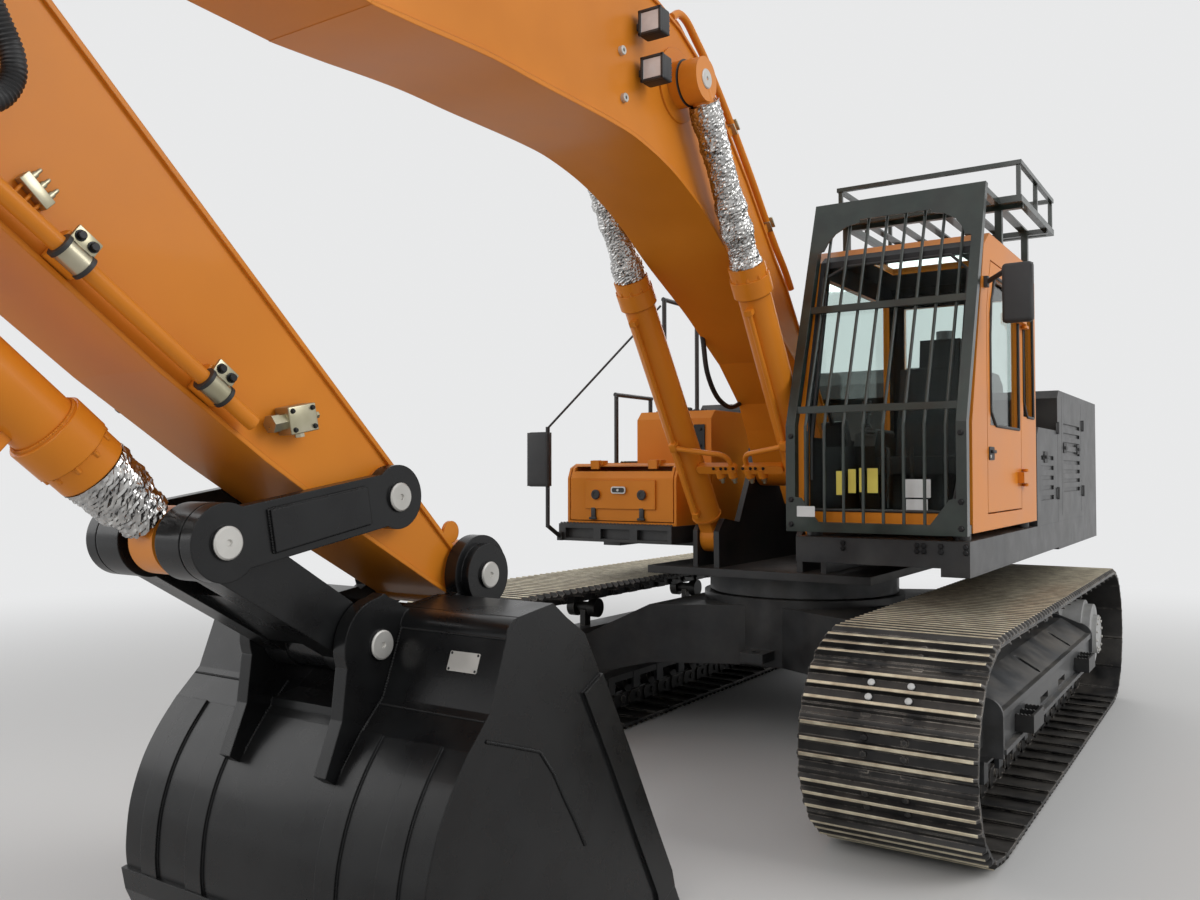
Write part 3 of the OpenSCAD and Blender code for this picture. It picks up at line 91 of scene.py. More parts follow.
def makeCamera(v):
    camera = bpy.data.objects.new("camera", bpy.data.cameras.new("camera"))
    scene.collection.objects.link(camera)
    camera.data.lens = v["lens"]
    camera.data.sensor_width = 36.0
    camera.data.clip_start = 0.05
    camera.data.clip_end = 400
    yaw, pitch, roll = (math.radians(v[k]) for k in ("yaw", "pitch", "roll"))
    look = Vector((math.cos(pitch) * math.cos(yaw), math.cos(pitch) * math.sin(yaw), math.sin(pitch)))
    turned = look.to_track_quat("-Z", "Y").to_matrix() @ Matrix.Rotation(roll, 3, "Z")
    camera.matrix_world = Matrix.Translation(at(*v["eye"])) @ turned.to_4x4()
    scene.camera = camera


def cameraSees(tree):
    # 1 for what the camera, a gloss or glass shows, 0 for light that falls on the object
    path = tree.nodes.new("ShaderNodeLightPath")
    total = path.outputs["Is Camera Ray"]
    for name in ("Is Glossy Ray", "Is Transmission Ray"):
        add = tree.nodes.new("ShaderNodeMath")
        add.operation = "MAXIMUM"
        tree.links.new(total, add.inputs[0])
        tree.links.new(path.outputs[name], add.inputs[1])
        total = add.outputs[0]
    return total


def makeStage(v):
    world = bpy.data.worlds.new("studio")
    scene.world = world
    world.use_nodes = True
    tree = world.node_tree
    lit = tree.nodes["Background"]
    lit.inputs["Color"].default_value = (0.92, 0.95, 1.0, 1)
    lit.inputs["Strength"].default_value = v["worldLight"]
    seen = tree.nodes.new("ShaderNodeBackground")
    seen.inputs["Color"].default_value = (*v["backColour"], 1)
    seen.inputs["Strength"].default_value = 0.9
    mix = tree.nodes.new("ShaderNodeMixShader")
    tree.links.new(cameraSees(tree), mix.inputs[0])
    tree.links.new(lit.outputs[0], mix.inputs[1])
    tree.links.new(seen.outputs[0], mix.inputs[2])
    tree.links.new(mix.outputs[0], tree.nodes["World Output"].inputs["Surface"])

    bpy.ops.mesh.primitive_plane_add(size=160, location=(0, 0, 0))
    floor = bpy.context.object
    floor.name = "floor"
    surface = bpy.data.materials.new("floorPaint")
    surface.use_nodes = True
    tree = surface.node_tree
    shader = tree.nodes["Principled BSDF"]
    shader.inputs["Base Color"].default_value = (*v["floorColour"], 1)
    shader.inputs["Roughness"].default_value = 0.75
    # Far from the object the floor fades into the pale background
    place = tree.nodes.new("ShaderNodeNewGeometry")
    away = tree.nodes.new("ShaderNodeVectorMath")
    away.operation = "LENGTH"
    tree.links.new(place.outputs["Position"], away.inputs[0])
    fade = tree.nodes.new("ShaderNodeMapRange")
    fade.interpolation_type = "SMOOTHSTEP"
    fade.inputs["From Min"].default_value = v["fadeFrom"]
    fade.inputs["From Max"].default_value = v["fadeTo"]
    tree.links.new(away.outputs["Value"], fade.inputs["Value"])
    share = tree.nodes.new("ShaderNodeMath")
    share.operation = "MULTIPLY"
    tree.links.new(fade.outputs["Result"], share.inputs[0])
    tree.links.new(cameraSees(tree), share.inputs[1])
    seen = tree.nodes.new("ShaderNodeEmission")
    seen.inputs["Color"].default_value = (*v["backColour"], 1)
    seen.inputs["Strength"].default_value = 0.9
    mix = tree.nodes.new("ShaderNodeMixShader")
    tree.links.new(share.outputs[0], mix.inputs[0])
    tree.links.new(shader.outputs[0], mix.inputs[1])
    tree.links.new(seen.outputs[0], mix.inputs[2])
    tree.links.new(mix.outputs[0], tree.nodes["Material Output"].inputs["Surface"])
    floor.data.materials.append(surface)

    # Large soft lamps: the day comes in behind the cab side, the rest fills
    for name, place, aim, size, power in (
            ("dayLight", (-2.0, 12.0, 9.0), (0.5, 0, 1.5), 8.0, 820),
            ("keyLight", (14.0, 2.0, 9.5), (1.5, 0, 1.4), 8.0, 450),
            ("fillLight", (7.0, -11.0, 7.0), (0.5, 0, 1.6), 9.0, 360),
            ("backLight", (-13.0, -4.0, 9.0), (0, 0, 1.5), 8.0, 450)):
        lamp = bpy.data.objects.new(name, bpy.data.lights.new(name, "AREA"))
        scene.collection.objects.link(lamp)
        lamp.data.shape = "SQUARE"
        lamp.data.size = size
        lamp.data.energy = power
        lamp.location = place
        lamp.rotation_euler = (Vector(aim) - Vector(place)).to_track_quat("-Z", "Y").to_euler()
    scene.view_settings.view_transform = "Standard"


makeCamera(stageValues)
makeStage(stageValues)
print("stage and camera done")

# Shader groups


def shaderGroup(name, inputs, outputs):
    group = bpy.data.node_groups.new(name, "ShaderNodeTree")
    for label, kind, value in inputs:
        socket = group.interface.new_socket(label, in_out="INPUT", socket_type="NodeSocket" + kind)
        socket.default_value = value
    for label, kind in outputs:
        group.interface.new_socket(label, in_out="OUTPUT", socket_type="NodeSocket" + kind)
    return group, group.nodes.new("NodeGroupInput"), group.nodes.new("NodeGroupOutput")


def math2(tree, operation, a, b=None, clamp=False):
    node = tree.nodes.new("ShaderNodeMath")
    node.operation = operation
    node.use_clamp = clamp
    for socket, value in zip(node.inputs, (a, b)):
        if value is None:
            continue
        if isinstance(value, (int, float)):
            socket.default_value = value
        else:
            tree.links.new(value, socket)
    return node.outputs[0]


def mapRange(tree, value, low, high, toLow=0.0, toHigh=1.0):
    node = tree.nodes.new("ShaderNodeMapRange")
    tree.links.new(value, node.inputs["Value"])
    for name, number in zip(("From Min", "From Max", "To Min", "To Max"), (low, high, toLow, toHigh)):
        if isinstance(number, (int, float)):
            node.inputs[name].default_value = number
        else:
            tree.links.new(number, node.inputs[name])
    return node.outputs["Result"]


def noiseOn(tree, scale, detail=3.0, rough=0.55, vector=None):
    node = tree.nodes.new("ShaderNodeTexNoise")
    node.inputs["Detail"].default_value = detail
    node.inputs["Roughness"].default_value = rough
    if isinstance(scale, (int, float)):
        node.inputs["Scale"].default_value = scale
    else:
        tree.links.new(scale, node.inputs["Scale"])
    if vector is None:
        vector = tree.nodes.new("ShaderNodeTexCoord").outputs["Object"]
    tree.links.new(vector, node.inputs["Vector"])
    return node.outputs["Fac"]


def mixColour(tree, factor, a, b):
    node = tree.nodes.new("ShaderNodeMix")
    node.data_type = "RGBA"
    tree.links.new(factor, node.inputs[0])
    for socket, value in ((node.inputs[6], a), (node.inputs[7], b)):
        if isinstance(value, (tuple, list)):
            socket.default_value = (*value[:3], 1)
        else:
            tree.links.new(value, socket)
    return node.outputs[2]


def makeEdgeWearAndHighlight():
    # Mask of hard edges, broken up by noise: 1 on an edge, 0 on a face; it lays edge wear and a painted highlight on
    # the tips of the track bars
    tree, given, put = shaderGroup("wornEdge", [("Radius", "Float", 0.012), ("Break up", "Float", 6.0)], [("Mask", "Float")])
    bevel = tree.nodes.new("ShaderNodeBevel")
    bevel.samples = 4
    tree.links.new(given.outputs["Radius"], bevel.inputs["Radius"])
    flat = tree.nodes.new("ShaderNodeNewGeometry")
    dot = tree.nodes.new("ShaderNodeVectorMath")
    dot.operation = "DOT_PRODUCT"
    tree.links.new(bevel.outputs[0], dot.inputs[0])
    tree.links.new(flat.outputs["Normal"], dot.inputs[1])
    edge = mapRange(tree, dot.outputs["Value"], 0.985, 0.8)
    patchy = mapRange(tree, noiseOn(tree, given.outputs["Break up"], 5, 0.7), 0.42, 0.6)
    tree.links.new(math2(tree, "MULTIPLY", edge, patchy, True), put.inputs["Mask"])
    return tree


def makeDustAndTopLight():
    # Fine dust that lies on faces that look up, with smudges on all others; the lighter colour on faces that look up is
    # also painted top light, most on the track steel
    tree, given, put = shaderGroup("dustAndTopLight", [("Scale", "Float", 3.0), ("Amount", "Float", 0.3)], [("Mask", "Float")])
    normal = tree.nodes.new("ShaderNodeNewGeometry").outputs["Normal"]
    split = tree.nodes.new("ShaderNodeSeparateXYZ")
    tree.links.new(normal, split.inputs[0])
    up = mapRange(tree, split.outputs["Z"], 0.2, 0.95, 0.25, 1.0)
    patchy = mapRange(tree, noiseOn(tree, given.outputs["Scale"], 6, 0.65), 0.38, 0.72)
    both = math2(tree, "MULTIPLY", up, patchy)
    tree.links.new(math2(tree, "MULTIPLY", both, given.outputs["Amount"], True), put.inputs["Mask"])
    return tree


def makePaintGrain():
    # Height of a sprayed or cast skin, and a slow change of tone
    tree, given, put = shaderGroup("paintGrain", [("Grain", "Float", 260.0), ("Waves", "Float", 7.0)],
                                   [("Height", "Float"), ("Tone", "Float")])
    fine = noiseOn(tree, given.outputs["Grain"], 2, 0.5)
    slow = noiseOn(tree, given.outputs["Waves"], 3, 0.5)
    height = math2(tree, "ADD", math2(tree, "MULTIPLY", fine, 0.35), slow)
    tree.links.new(height, put.inputs["Height"])
    tree.links.new(slow, put.inputs["Tone"])
    return tree


def makeNearPin():
    # 1 within a radius of a pin that runs across the machine, seen from the side
    tree, given, put = shaderGroup("nearPin", [("Centre", "Vector", (0.0, 0.0, 0.0)), ("Radius", "Float", 0.13)], [("Mask", "Float")])
    place = tree.nodes.new("ShaderNodeTexCoord").outputs["Object"]
    away = tree.nodes.new("ShaderNodeVectorMath")
    away.operation = "SUBTRACT"
    flat = tree.nodes.new("ShaderNodeVectorMath")
    flat.operation = "MULTIPLY"
    flat.inputs[1].default_value = (1.0, 0.0, 1.0)
    size = tree.nodes.new("ShaderNodeVectorMath")
    size.operation = "LENGTH"
    tree.links.new(place, away.inputs[0])
    tree.links.new(given.outputs["Centre"], away.inputs[1])
    tree.links.new(away.outputs[0], flat.inputs[0])
    tree.links.new(flat.outputs[0], size.inputs[0])
    tree.links.new(math2(tree, "LESS_THAN", size.outputs["Value"], given.outputs["Radius"]), put.inputs["Mask"])
    return tree


def makeInsideBox():
    # 1 inside a box, such as the lining of the cab
    tree, given, put = shaderGroup("insideBox", [("Centre", "Vector", (0.0, 0.0, 0.0)), ("Half", "Vector", (1.0, 1.0, 1.0))],
                                   [("Mask", "Float")])
    place = tree.nodes.new("ShaderNodeTexCoord").outputs["Object"]
    away = tree.nodes.new("ShaderNodeVectorMath")
    away.operation = "SUBTRACT"
    size = tree.nodes.new("ShaderNodeVectorMath")
    size.operation = "ABSOLUTE"
    spare = tree.nodes.new("ShaderNodeVectorMath")
    spare.operation = "SUBTRACT"
    split = tree.nodes.new("ShaderNodeSeparateXYZ")
    tree.links.new(place, away.inputs[0])
    tree.links.new(given.outputs["Centre"], away.inputs[1])
    tree.links.new(away.outputs[0], size.inputs[0])
    tree.links.new(given.outputs["Half"], spare.inputs[0])
    tree.links.new(size.outputs[0], spare.inputs[1])
    tree.links.new(spare.outputs[0], split.inputs[0])
    least = math2(tree, "MINIMUM", math2(tree, "MINIMUM", split.outputs[0], split.outputs[1]), split.outputs[2])
    tree.links.new(math2(tree, "GREATER_THAN", least, 0.0), put.inputs["Mask"])
    return tree


wornEdge = makeEdgeWearAndHighlight()
dustAndTopLight = makeDustAndTopLight()
paintGrain = makePaintGrain()
nearPin = makeNearPin()
insideBox = makeInsideBox()


def groupNode(tree, group, **values):
    node = tree.nodes.new("ShaderNodeGroup")
    node.node_tree = group
    for name, value in values.items():
        node.inputs[name.replace("_", " ")].default_value = value
    return node


# Materials
finishes = {
    # colour, dark and light tone, roughness, coat, metal, bump, dust with painted top light, edge colour of edge wear
    # and painted highlight, edge amount, edge rounding in metres
    "yellowPaint": dict(base=(0.72, 0.235, 0.018), deep=(0.64, 0.200, 0.013), rough=0.36, coat=0.06, spec=0.2, dustAndLitTop=0.02, round=0.006,
                        bump=0.04, waves=1.6),
    "blackPaint": dict(base=(0.016, 0.017, 0.018), deep=(0.008, 0.008, 0.009), rough=0.42, coat=0.1, dustAndLitTop=0.25, round=0.005, bump=0.08),
    "bucketBlack": dict(base=(0.007, 0.0075, 0.008), deep=(0.004, 0.004, 0.0045), rough=0.28, coat=0.05, spec=0.3, dustAndLitTop=0.03, round=0.006, bump=0.10),
    "frameGrey": dict(base=(0.060, 0.063, 0.066), deep=(0.030, 0.032, 0.034), rough=0.45, coat=0.1, dustAndLitTop=0.45, round=0.006, bump=0.08),
    "guardGreen": dict(base=(0.012, 0.024, 0.018), deep=(0.006, 0.012, 0.009), rough=0.34, coat=0.3, dustAndLitTop=0.15, round=0.003, bump=0.05),
    # On the track steel the lighter colour on top faces is dust and painted light on the tops
    "trackSteel": dict(base=(0.026, 0.025, 0.025), deep=(0.012, 0.012, 0.012), rough=0.42, metal=0.35, dustAndLitTop=0.28, round=0.003,
                       # The light edge colour of the track steel is edge wear and a painted highlight on the bars' tips
                       bump=0.12, edge=(0.42, 0.38, 0.33), edgeAmount=0.9, edgeRadius=0.010),
    "driveGrey": dict(base=(0.50, 0.50, 0.49), deep=(0.36, 0.36, 0.35), rough=0.4, dustAndLitTop=0.3, round=0.006, bump=0.08),
    "machinedSteel": dict(base=(0.52, 0.52, 0.51), deep=(0.36, 0.36, 0.36), rough=0.32, metal=0.9, dustAndLitTop=0.05, round=0.003, bump=0.03),
    "rodChrome": dict(base=(0.70, 0.71, 0.73), deep=(0.60, 0.61, 0.63), rough=0.12, metal=1.0, dustAndLitTop=0.02, round=0.002, bump=0.01),
    "darkPlastic": dict(base=(0.022, 0.022, 0.023), deep=(0.012, 0.012, 0.013), rough=0.55, dustAndLitTop=0.2, round=0.006, bump=0.10),
    # Light gold steel for the tops of the track bars: worn steel, made lighter as a painted highlight
    "tipSteel": dict(base=(0.74, 0.67, 0.50), deep=(0.50, 0.43, 0.31), rough=0.36, metal=0.6, dustAndLitTop=0.05, round=0.001, bump=0.10, waves=14.0),
    "pinSteel": dict(base=(0.60, 0.585, 0.55), deep=(0.50, 0.485, 0.45), rough=0.42, metal=0.5, dustAndLitTop=0.04, round=0.001, bump=0.03),
    "zincFittings": dict(base=(0.50, 0.46, 0.34), deep=(0.36, 0.33, 0.22), rough=0.3, metal=0.85, dustAndLitTop=0.05, round=0.002, bump=0.03),
    "mirrorFace": dict(base=(0.82, 0.84, 0.86), deep=(0.8, 0.82, 0.84), rough=0.04, metal=1.0, dustAndLitTop=0.02, round=0.0, bump=0.0),
    "foil": dict(base=(0.60, 0.59, 0.57), deep=(0.36, 0.355, 0.35), rough=0.20, metal=1.0, dustAndLitTop=0.0, round=0.0, bump=0.25, grain=60.0, waves=30.0),
    "hoseRubber": dict(base=(0.014, 0.014, 0.015), deep=(0.008, 0.008, 0.008), rough=0.5, dustAndLitTop=0.2, round=0.0, bump=0.1),
    "boltBlack": dict(base=(0.012, 0.012, 0.013), deep=(0.006, 0.006, 0.007), rough=0.35, metal=0.4, dustAndLitTop=0.05, round=0.001, bump=0.03),
    "labelWhite": dict(base=(0.72, 0.72, 0.70), deep=(0.62, 0.62, 0.60), rough=0.4, dustAndLitTop=0.05, round=0.0, bump=0.01),
    "labelYellow": dict(base=(0.80, 0.66, 0.12), deep=(0.72, 0.58, 0.10), rough=0.4, dustAndLitTop=0.05, round=0.0, bump=0.01),
    "lensClear": dict(base=(0.75, 0.77, 0.78), deep=(0.5, 0.52, 0.54), rough=0.08, coat=0.6, dustAndLitTop=0.02, round=0.0, bump=0.02),
    "seatCloth": dict(base=(0.030, 0.030, 0.032), deep=(0.016, 0.016, 0.018), rough=0.85, dustAndLitTop=0.1, round=0.02, bump=0.3, grain=500.0),
}


def makeMaterial(name, v):
    surface = bpy.data.materials.new(name)
    surface.use_nodes = True
    tree = surface.node_tree
    shader = tree.nodes["Principled BSDF"]
    shader.inputs["Metallic"].default_value = v.get("metal", 0.0)
    shader.inputs["Coat Weight"].default_value = v.get("coat", 0.0)
    shader.inputs["Coat Roughness"].default_value = 0.06
    shader.inputs["Specular IOR Level"].default_value = v.get("spec", 0.5)
    grain = groupNode(tree, paintGrain, Grain=v.get("grain", 260.0), Waves=v.get("waves", 7.0))
    tone = mapRange(tree, grain.outputs["Tone"], 0.35, 0.65)
    colour = mixColour(tree, tone, v["deep"], v["base"])
    # Lighter colour on hard edges: edge wear, and on the track steel a painted highlight
    if "edge" in v:
        worn = groupNode(tree, wornEdge, Radius=v["edgeRadius"])
        colour = mixColour(tree, math2(tree, "MULTIPLY", worn.outputs["Mask"], v["edgeAmount"]), colour, v["edge"])
    if "mask" in v:
        # A second finish where the mask is 1: paint on a rod's eye, or the lining of the cab
        group, values, other = v["mask"]
        inside = groupNode(tree, group, **values).outputs["Mask"]
        colour = mixColour(tree, inside, colour, other["base"])
        tree.links.new(mapRange(tree, inside, 0.0, 1.0, v.get("metal", 0.0), other.get("metal", 0.0)), shader.inputs["Metallic"])
    # Dust colour laid most on faces that look up: dust, and painted light on the tops
    dustAndLitTop = groupNode(tree, dustAndTopLight, Amount=v["dustAndLitTop"])
    colour = mixColour(tree, dustAndLitTop.outputs["Mask"], colour, (0.34, 0.30, 0.25))
    tree.links.new(colour, shader.inputs["Base Color"])
    gloss = mapRange(tree, grain.outputs["Tone"], 0.3, 0.7, v["rough"] - 0.04, v["rough"] + 0.05)
    if "mask" in v:
        gloss = math2(tree, "ADD", gloss, math2(tree, "MULTIPLY", inside, other["rough"] - v["rough"]))
    rough = math2(tree, "ADD", gloss, math2(tree, "MULTIPLY", dustAndLitTop.outputs["Mask"], 0.5), True)
    tree.links.new(rough, shader.inputs["Roughness"])
    bump = tree.nodes.new("ShaderNodeBump")
    bump.inputs["Strength"].default_value = v["bump"]
    bump.inputs["Distance"].default_value = 0.004
    tree.links.new(grain.outputs["Height"], bump.inputs["Height"])
    if v["round"] > 0:
        soft = tree.nodes.new("ShaderNodeBevel")
        soft.samples = 3
        soft.inputs["Radius"].default_value = v["round"]
        tree.links.new(soft.outputs[0], bump.inputs["Normal"])
    tree.links.new(bump.outputs[0], shader.inputs["Normal"])
    return surface


mats = {name: makeMaterial(name, v) for name, v in finishes.items()}


def makeGlass():
    surface = bpy.data.materials.new("clearGlass")
    surface.use_nodes = True
    tree = surface.node_tree
    shader = tree.nodes["Principled BSDF"]
    shader.inputs["Transmission Weight"].default_value = 1.0
    shader.inputs["IOR"].default_value = 1.12
    smear = mapRange(tree, noiseOn(tree, 4.0, 4), 0.45, 0.75, 0.0, 0.10)
    tree.links.new(smear, shader.inputs["Roughness"])
    tree.links.new(mixColour(tree, smear, (0.80, 0.88, 0.86), (0.62, 0.66, 0.64)), shader.inputs["Base Color"])
    return surface


mats["clearGlass"] = makeGlass()

slotFinish = {
    "yellow_paint": "yellowPaint", "black_paint": "blackPaint", "bucket_black": "bucketBlack", "frame_grey": "frameGrey",
    "guard_green": "guardGreen", "track_steel": "trackSteel", "drive_grey": "driveGrey", "machined_steel": "machinedSteel",
    "rod_chrome": "rodChrome", "clear_glass": "clearGlass", "dark_plastic": "darkPlastic", "zinc_fittings": "zincFittings",
    "mirror_face": "mirrorFace",
}
finishSlot = {finish: slotName for slotName, finish in slotFinish.items()}
finishSlot.update(tipSteel="machined_steel", pinSteel="machined_steel", foil="rod_chrome", hoseRubber="dark_plastic", boltBlack="dark_plastic", labelWhite="dark_plastic",
                  labelYellow="dark_plastic", lensClear="clear_glass", seatCloth="dark_plastic")
for part in frame["record"]["subparts"]:
    finish = slotFinish[part["material_slot"]]
    nodes[part["node"]].data.materials.clear()
    nodes[part["node"]].data.materials.append(mats[finish])
nodes["operator_seat"].data.materials[0] = mats["seatCloth"]
# The slew race takes dark frame grey in place of bright steel: a coat of paint, and painted shade where the ring lies
# in shadow
nodes["slew_race"].data.materials[0] = mats["frameGrey"]
for node, pin in (("boom_jack_rods", jackEye), ("crowd_rod", crowdEye), ("curl_rod", linkPin)):
    eyePaint = (nearPin, {"Centre": tuple(pin), "Radius": 0.122}, finishes["yellowPaint"])
    nodes[node].data.materials[0] = makeMaterial("paintedEye_" + node, dict(finishes["rodChrome"], mask=eyePaint))
lining = (insideBox, {"Centre": tuple(at(0.46, 0.9935, 2.31)), "Half": (0.832, 0.449, 0.792)}, finishes["darkPlastic"])
for node in ("cab_shell", "door"):
    nodes[node].data.materials[0] = makeMaterial("lined_" + node, dict(finishes["yellowPaint"], mask=lining))
print("materials done")

# Mesh and node tools


def keep(obj, body, finish, replaced=()):
    # A finished piece: material, body that it rides on, and the CAD nodes it stands for
    if not obj.data.materials:
        obj.data.materials.append(mats[finish])
    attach(obj, body)
    if replaced:
        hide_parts(*replaced)
    return obj


def meshObject(name, bm, smooth=None):
    bmesh.ops.recalc_face_normals(bm, faces=bm.faces)
    mesh = bpy.data.meshes.new(name)
    bm.to_mesh(mesh)
    bm.free()
    obj = bpy.data.objects.new(name, mesh)
    scene.collection.objects.link(obj)
    if smooth is not None:
        for face in mesh.polygons:
            face.use_smooth = True
        mesh.set_sharp_from_angle(angle=math.radians(smooth))
    return obj


def geometryTree(name, inputs):
    tree = bpy.data.node_groups.new(name, "GeometryNodeTree")
    tree.interface.new_socket("Geometry", in_out="INPUT", socket_type="NodeSocketGeometry")
    for label, kind, value in inputs:
        socket = tree.interface.new_socket(label, in_out="INPUT", socket_type="NodeSocket" + kind)
        if value is not None:
            socket.default_value = value
    tree.interface.new_socket("Geometry", in_out="OUTPUT", socket_type="NodeSocketGeometry")
    return tree, tree.nodes.new("NodeGroupInput"), tree.nodes.new("NodeGroupOutput")


def endTree(tree, given, put, result):
    # Every tree ends in real geometry with its material set
    real = tree.nodes.new("GeometryNodeRealizeInstances")
    paint = tree.nodes.new("GeometryNodeSetMaterial")
    tree.links.new(result, real.inputs[0])
    tree.links.new(real.outputs[0], paint.inputs["Geometry"])
    tree.links.new(given.outputs["Finish"], paint.inputs["Material"])
    tree.links.new(paint.outputs[0], put.inputs[0])
    return tree


def grow(name, source, tree, values, smooth=None):
    # Runs a tree on a source object and keeps the result as a plain mesh
    modifier = source.modifiers.new("grow", "NODES")
    modifier.node_group = tree
    for item in tree.interface.items_tree:
        if item.item_type == "SOCKET" and item.in_out == "INPUT" and item.name in values:
            modifier[item.identifier] = values[item.name]
    bpy.context.view_layer.update()
    mesh = bpy.data.meshes.new_from_object(source.evaluated_get(bpy.context.evaluated_depsgraph_get()))
    mesh.name = name
    source.modifiers.remove(modifier)
    bpy.data.objects.remove(source)
    obj = bpy.data.objects.new(name, mesh)
    scene.collection.objects.link(obj)
    if smooth is not None:
        for face in mesh.polygons:
            face.use_smooth = True
        mesh.set_sharp_from_angle(angle=math.radians(smooth))
    return obj


def pointCloud(points, turns, sizes=None):
    # Points with an Euler turn and a size each, for a tree that sets copies on them
    mesh = bpy.data.meshes.new("points")
    mesh.from_pydata([tuple(p) for p in points], [], [])
    turn = mesh.attributes.new("turn", "FLOAT_VECTOR", "POINT")
    for i, t in enumerate(turns):
        turn.data[i].vector = tuple(t)
    size = mesh.attributes.new("size", "FLOAT", "POINT")
    for i in range(len(points)):
        size.data[i].value = sizes[i] if sizes else 1.0
    obj = bpy.data.objects.new("points", mesh)
    scene.collection.objects.link(obj)
    return obj


def named(tree, kind, label):
    node = tree.nodes.new("GeometryNodeInputNamedAttribute")
    node.data_type = kind
    node.inputs["Name"].default_value = label
    return next(s for s in node.outputs if s.enabled and s.name == "Attribute")


def makeCopyTree():
    # Sets a copy of one shape on each point, turned and sized by the point
    tree, given, put = geometryTree("copiesOnPoints", [("Shape", "Object", None), ("Finish", "Material", None)])
    shape = tree.nodes.new("GeometryNodeObjectInfo")
    spread = tree.nodes.new("GeometryNodeInstanceOnPoints")
    tree.links.new(given.outputs["Shape"], shape.inputs["Object"])
    tree.links.new(given.outputs["Geometry"], spread.inputs["Points"])
    tree.links.new(shape.outputs["Geometry"], spread.inputs["Instance"])
    tree.links.new(named(tree, "FLOAT_VECTOR", "turn"), spread.inputs["Rotation"])
    tree.links.new(named(tree, "FLOAT", "size"), spread.inputs["Scale"])
    return endTree(tree, given, put, spread.outputs[0])


def makeHoseTree():
    # Round tube along a path, with optional ridges of a spiral guard
    tree, given, put = geometryTree("hoseOnPath", [("Radius", "Float", 0.016), ("Ridge", "Float", 0.0), ("Ridge pitch", "Float", 0.012),
                                                   ("Step", "Float", 0.02), ("Sides", "Int", 14), ("Finish", "Material", None)])
    steps = tree.nodes.new("GeometryNodeResampleCurve")
    steps.mode = "LENGTH"
    ring = tree.nodes.new("GeometryNodeCurvePrimitiveCircle")
    sweep = tree.nodes.new("GeometryNodeCurveToMesh")
    sweep.inputs["Fill Caps"].default_value = True
    along = tree.nodes.new("GeometryNodeSplineParameter")
    wave = tree.nodes.new("ShaderNodeMath")
    wave.operation = "DIVIDE"
    turnBy = tree.nodes.new("ShaderNodeMath")
    turnBy.operation = "MULTIPLY"
    turnBy.inputs[1].default_value = math.tau
    sine = tree.nodes.new("ShaderNodeMath")
    sine.operation = "SINE"
    lift = tree.nodes.new("ShaderNodeMath")
    lift.operation = "MULTIPLY_ADD"
    radius = tree.nodes.new("GeometryNodeSetCurveRadius")
    tree.links.new(given.outputs["Geometry"], steps.inputs["Curve"])
    tree.links.new(given.outputs["Step"], steps.inputs["Length"])
    tree.links.new(along.outputs["Length"], wave.inputs[0])
    tree.links.new(given.outputs["Ridge pitch"], wave.inputs[1])
    tree.links.new(wave.outputs[0], turnBy.inputs[0])
    tree.links.new(turnBy.outputs[0], sine.inputs[0])
    tree.links.new(sine.outputs[0], lift.inputs[0])
    tree.links.new(given.outputs["Ridge"], lift.inputs[1])
    lift.inputs[2].default_value = 1.0
    tree.links.new(steps.outputs[0], radius.inputs["Curve"])
    tree.links.new(lift.outputs[0], radius.inputs["Radius"])
    tree.links.new(given.outputs["Sides"], ring.inputs["Resolution"])
    tree.links.new(given.outputs["Radius"], ring.inputs["Radius"])
    tree.links.new(radius.outputs[0], sweep.inputs["Curve"])
    tree.links.new(ring.outputs["Curve"], sweep.inputs["Profile Curve"])
    if "Scale" in sweep.inputs:
        read = tree.nodes.new("GeometryNodeInputRadius")
        tree.links.new(read.outputs[0], sweep.inputs["Scale"])
    return endTree(tree, given, put, sweep.outputs[0])


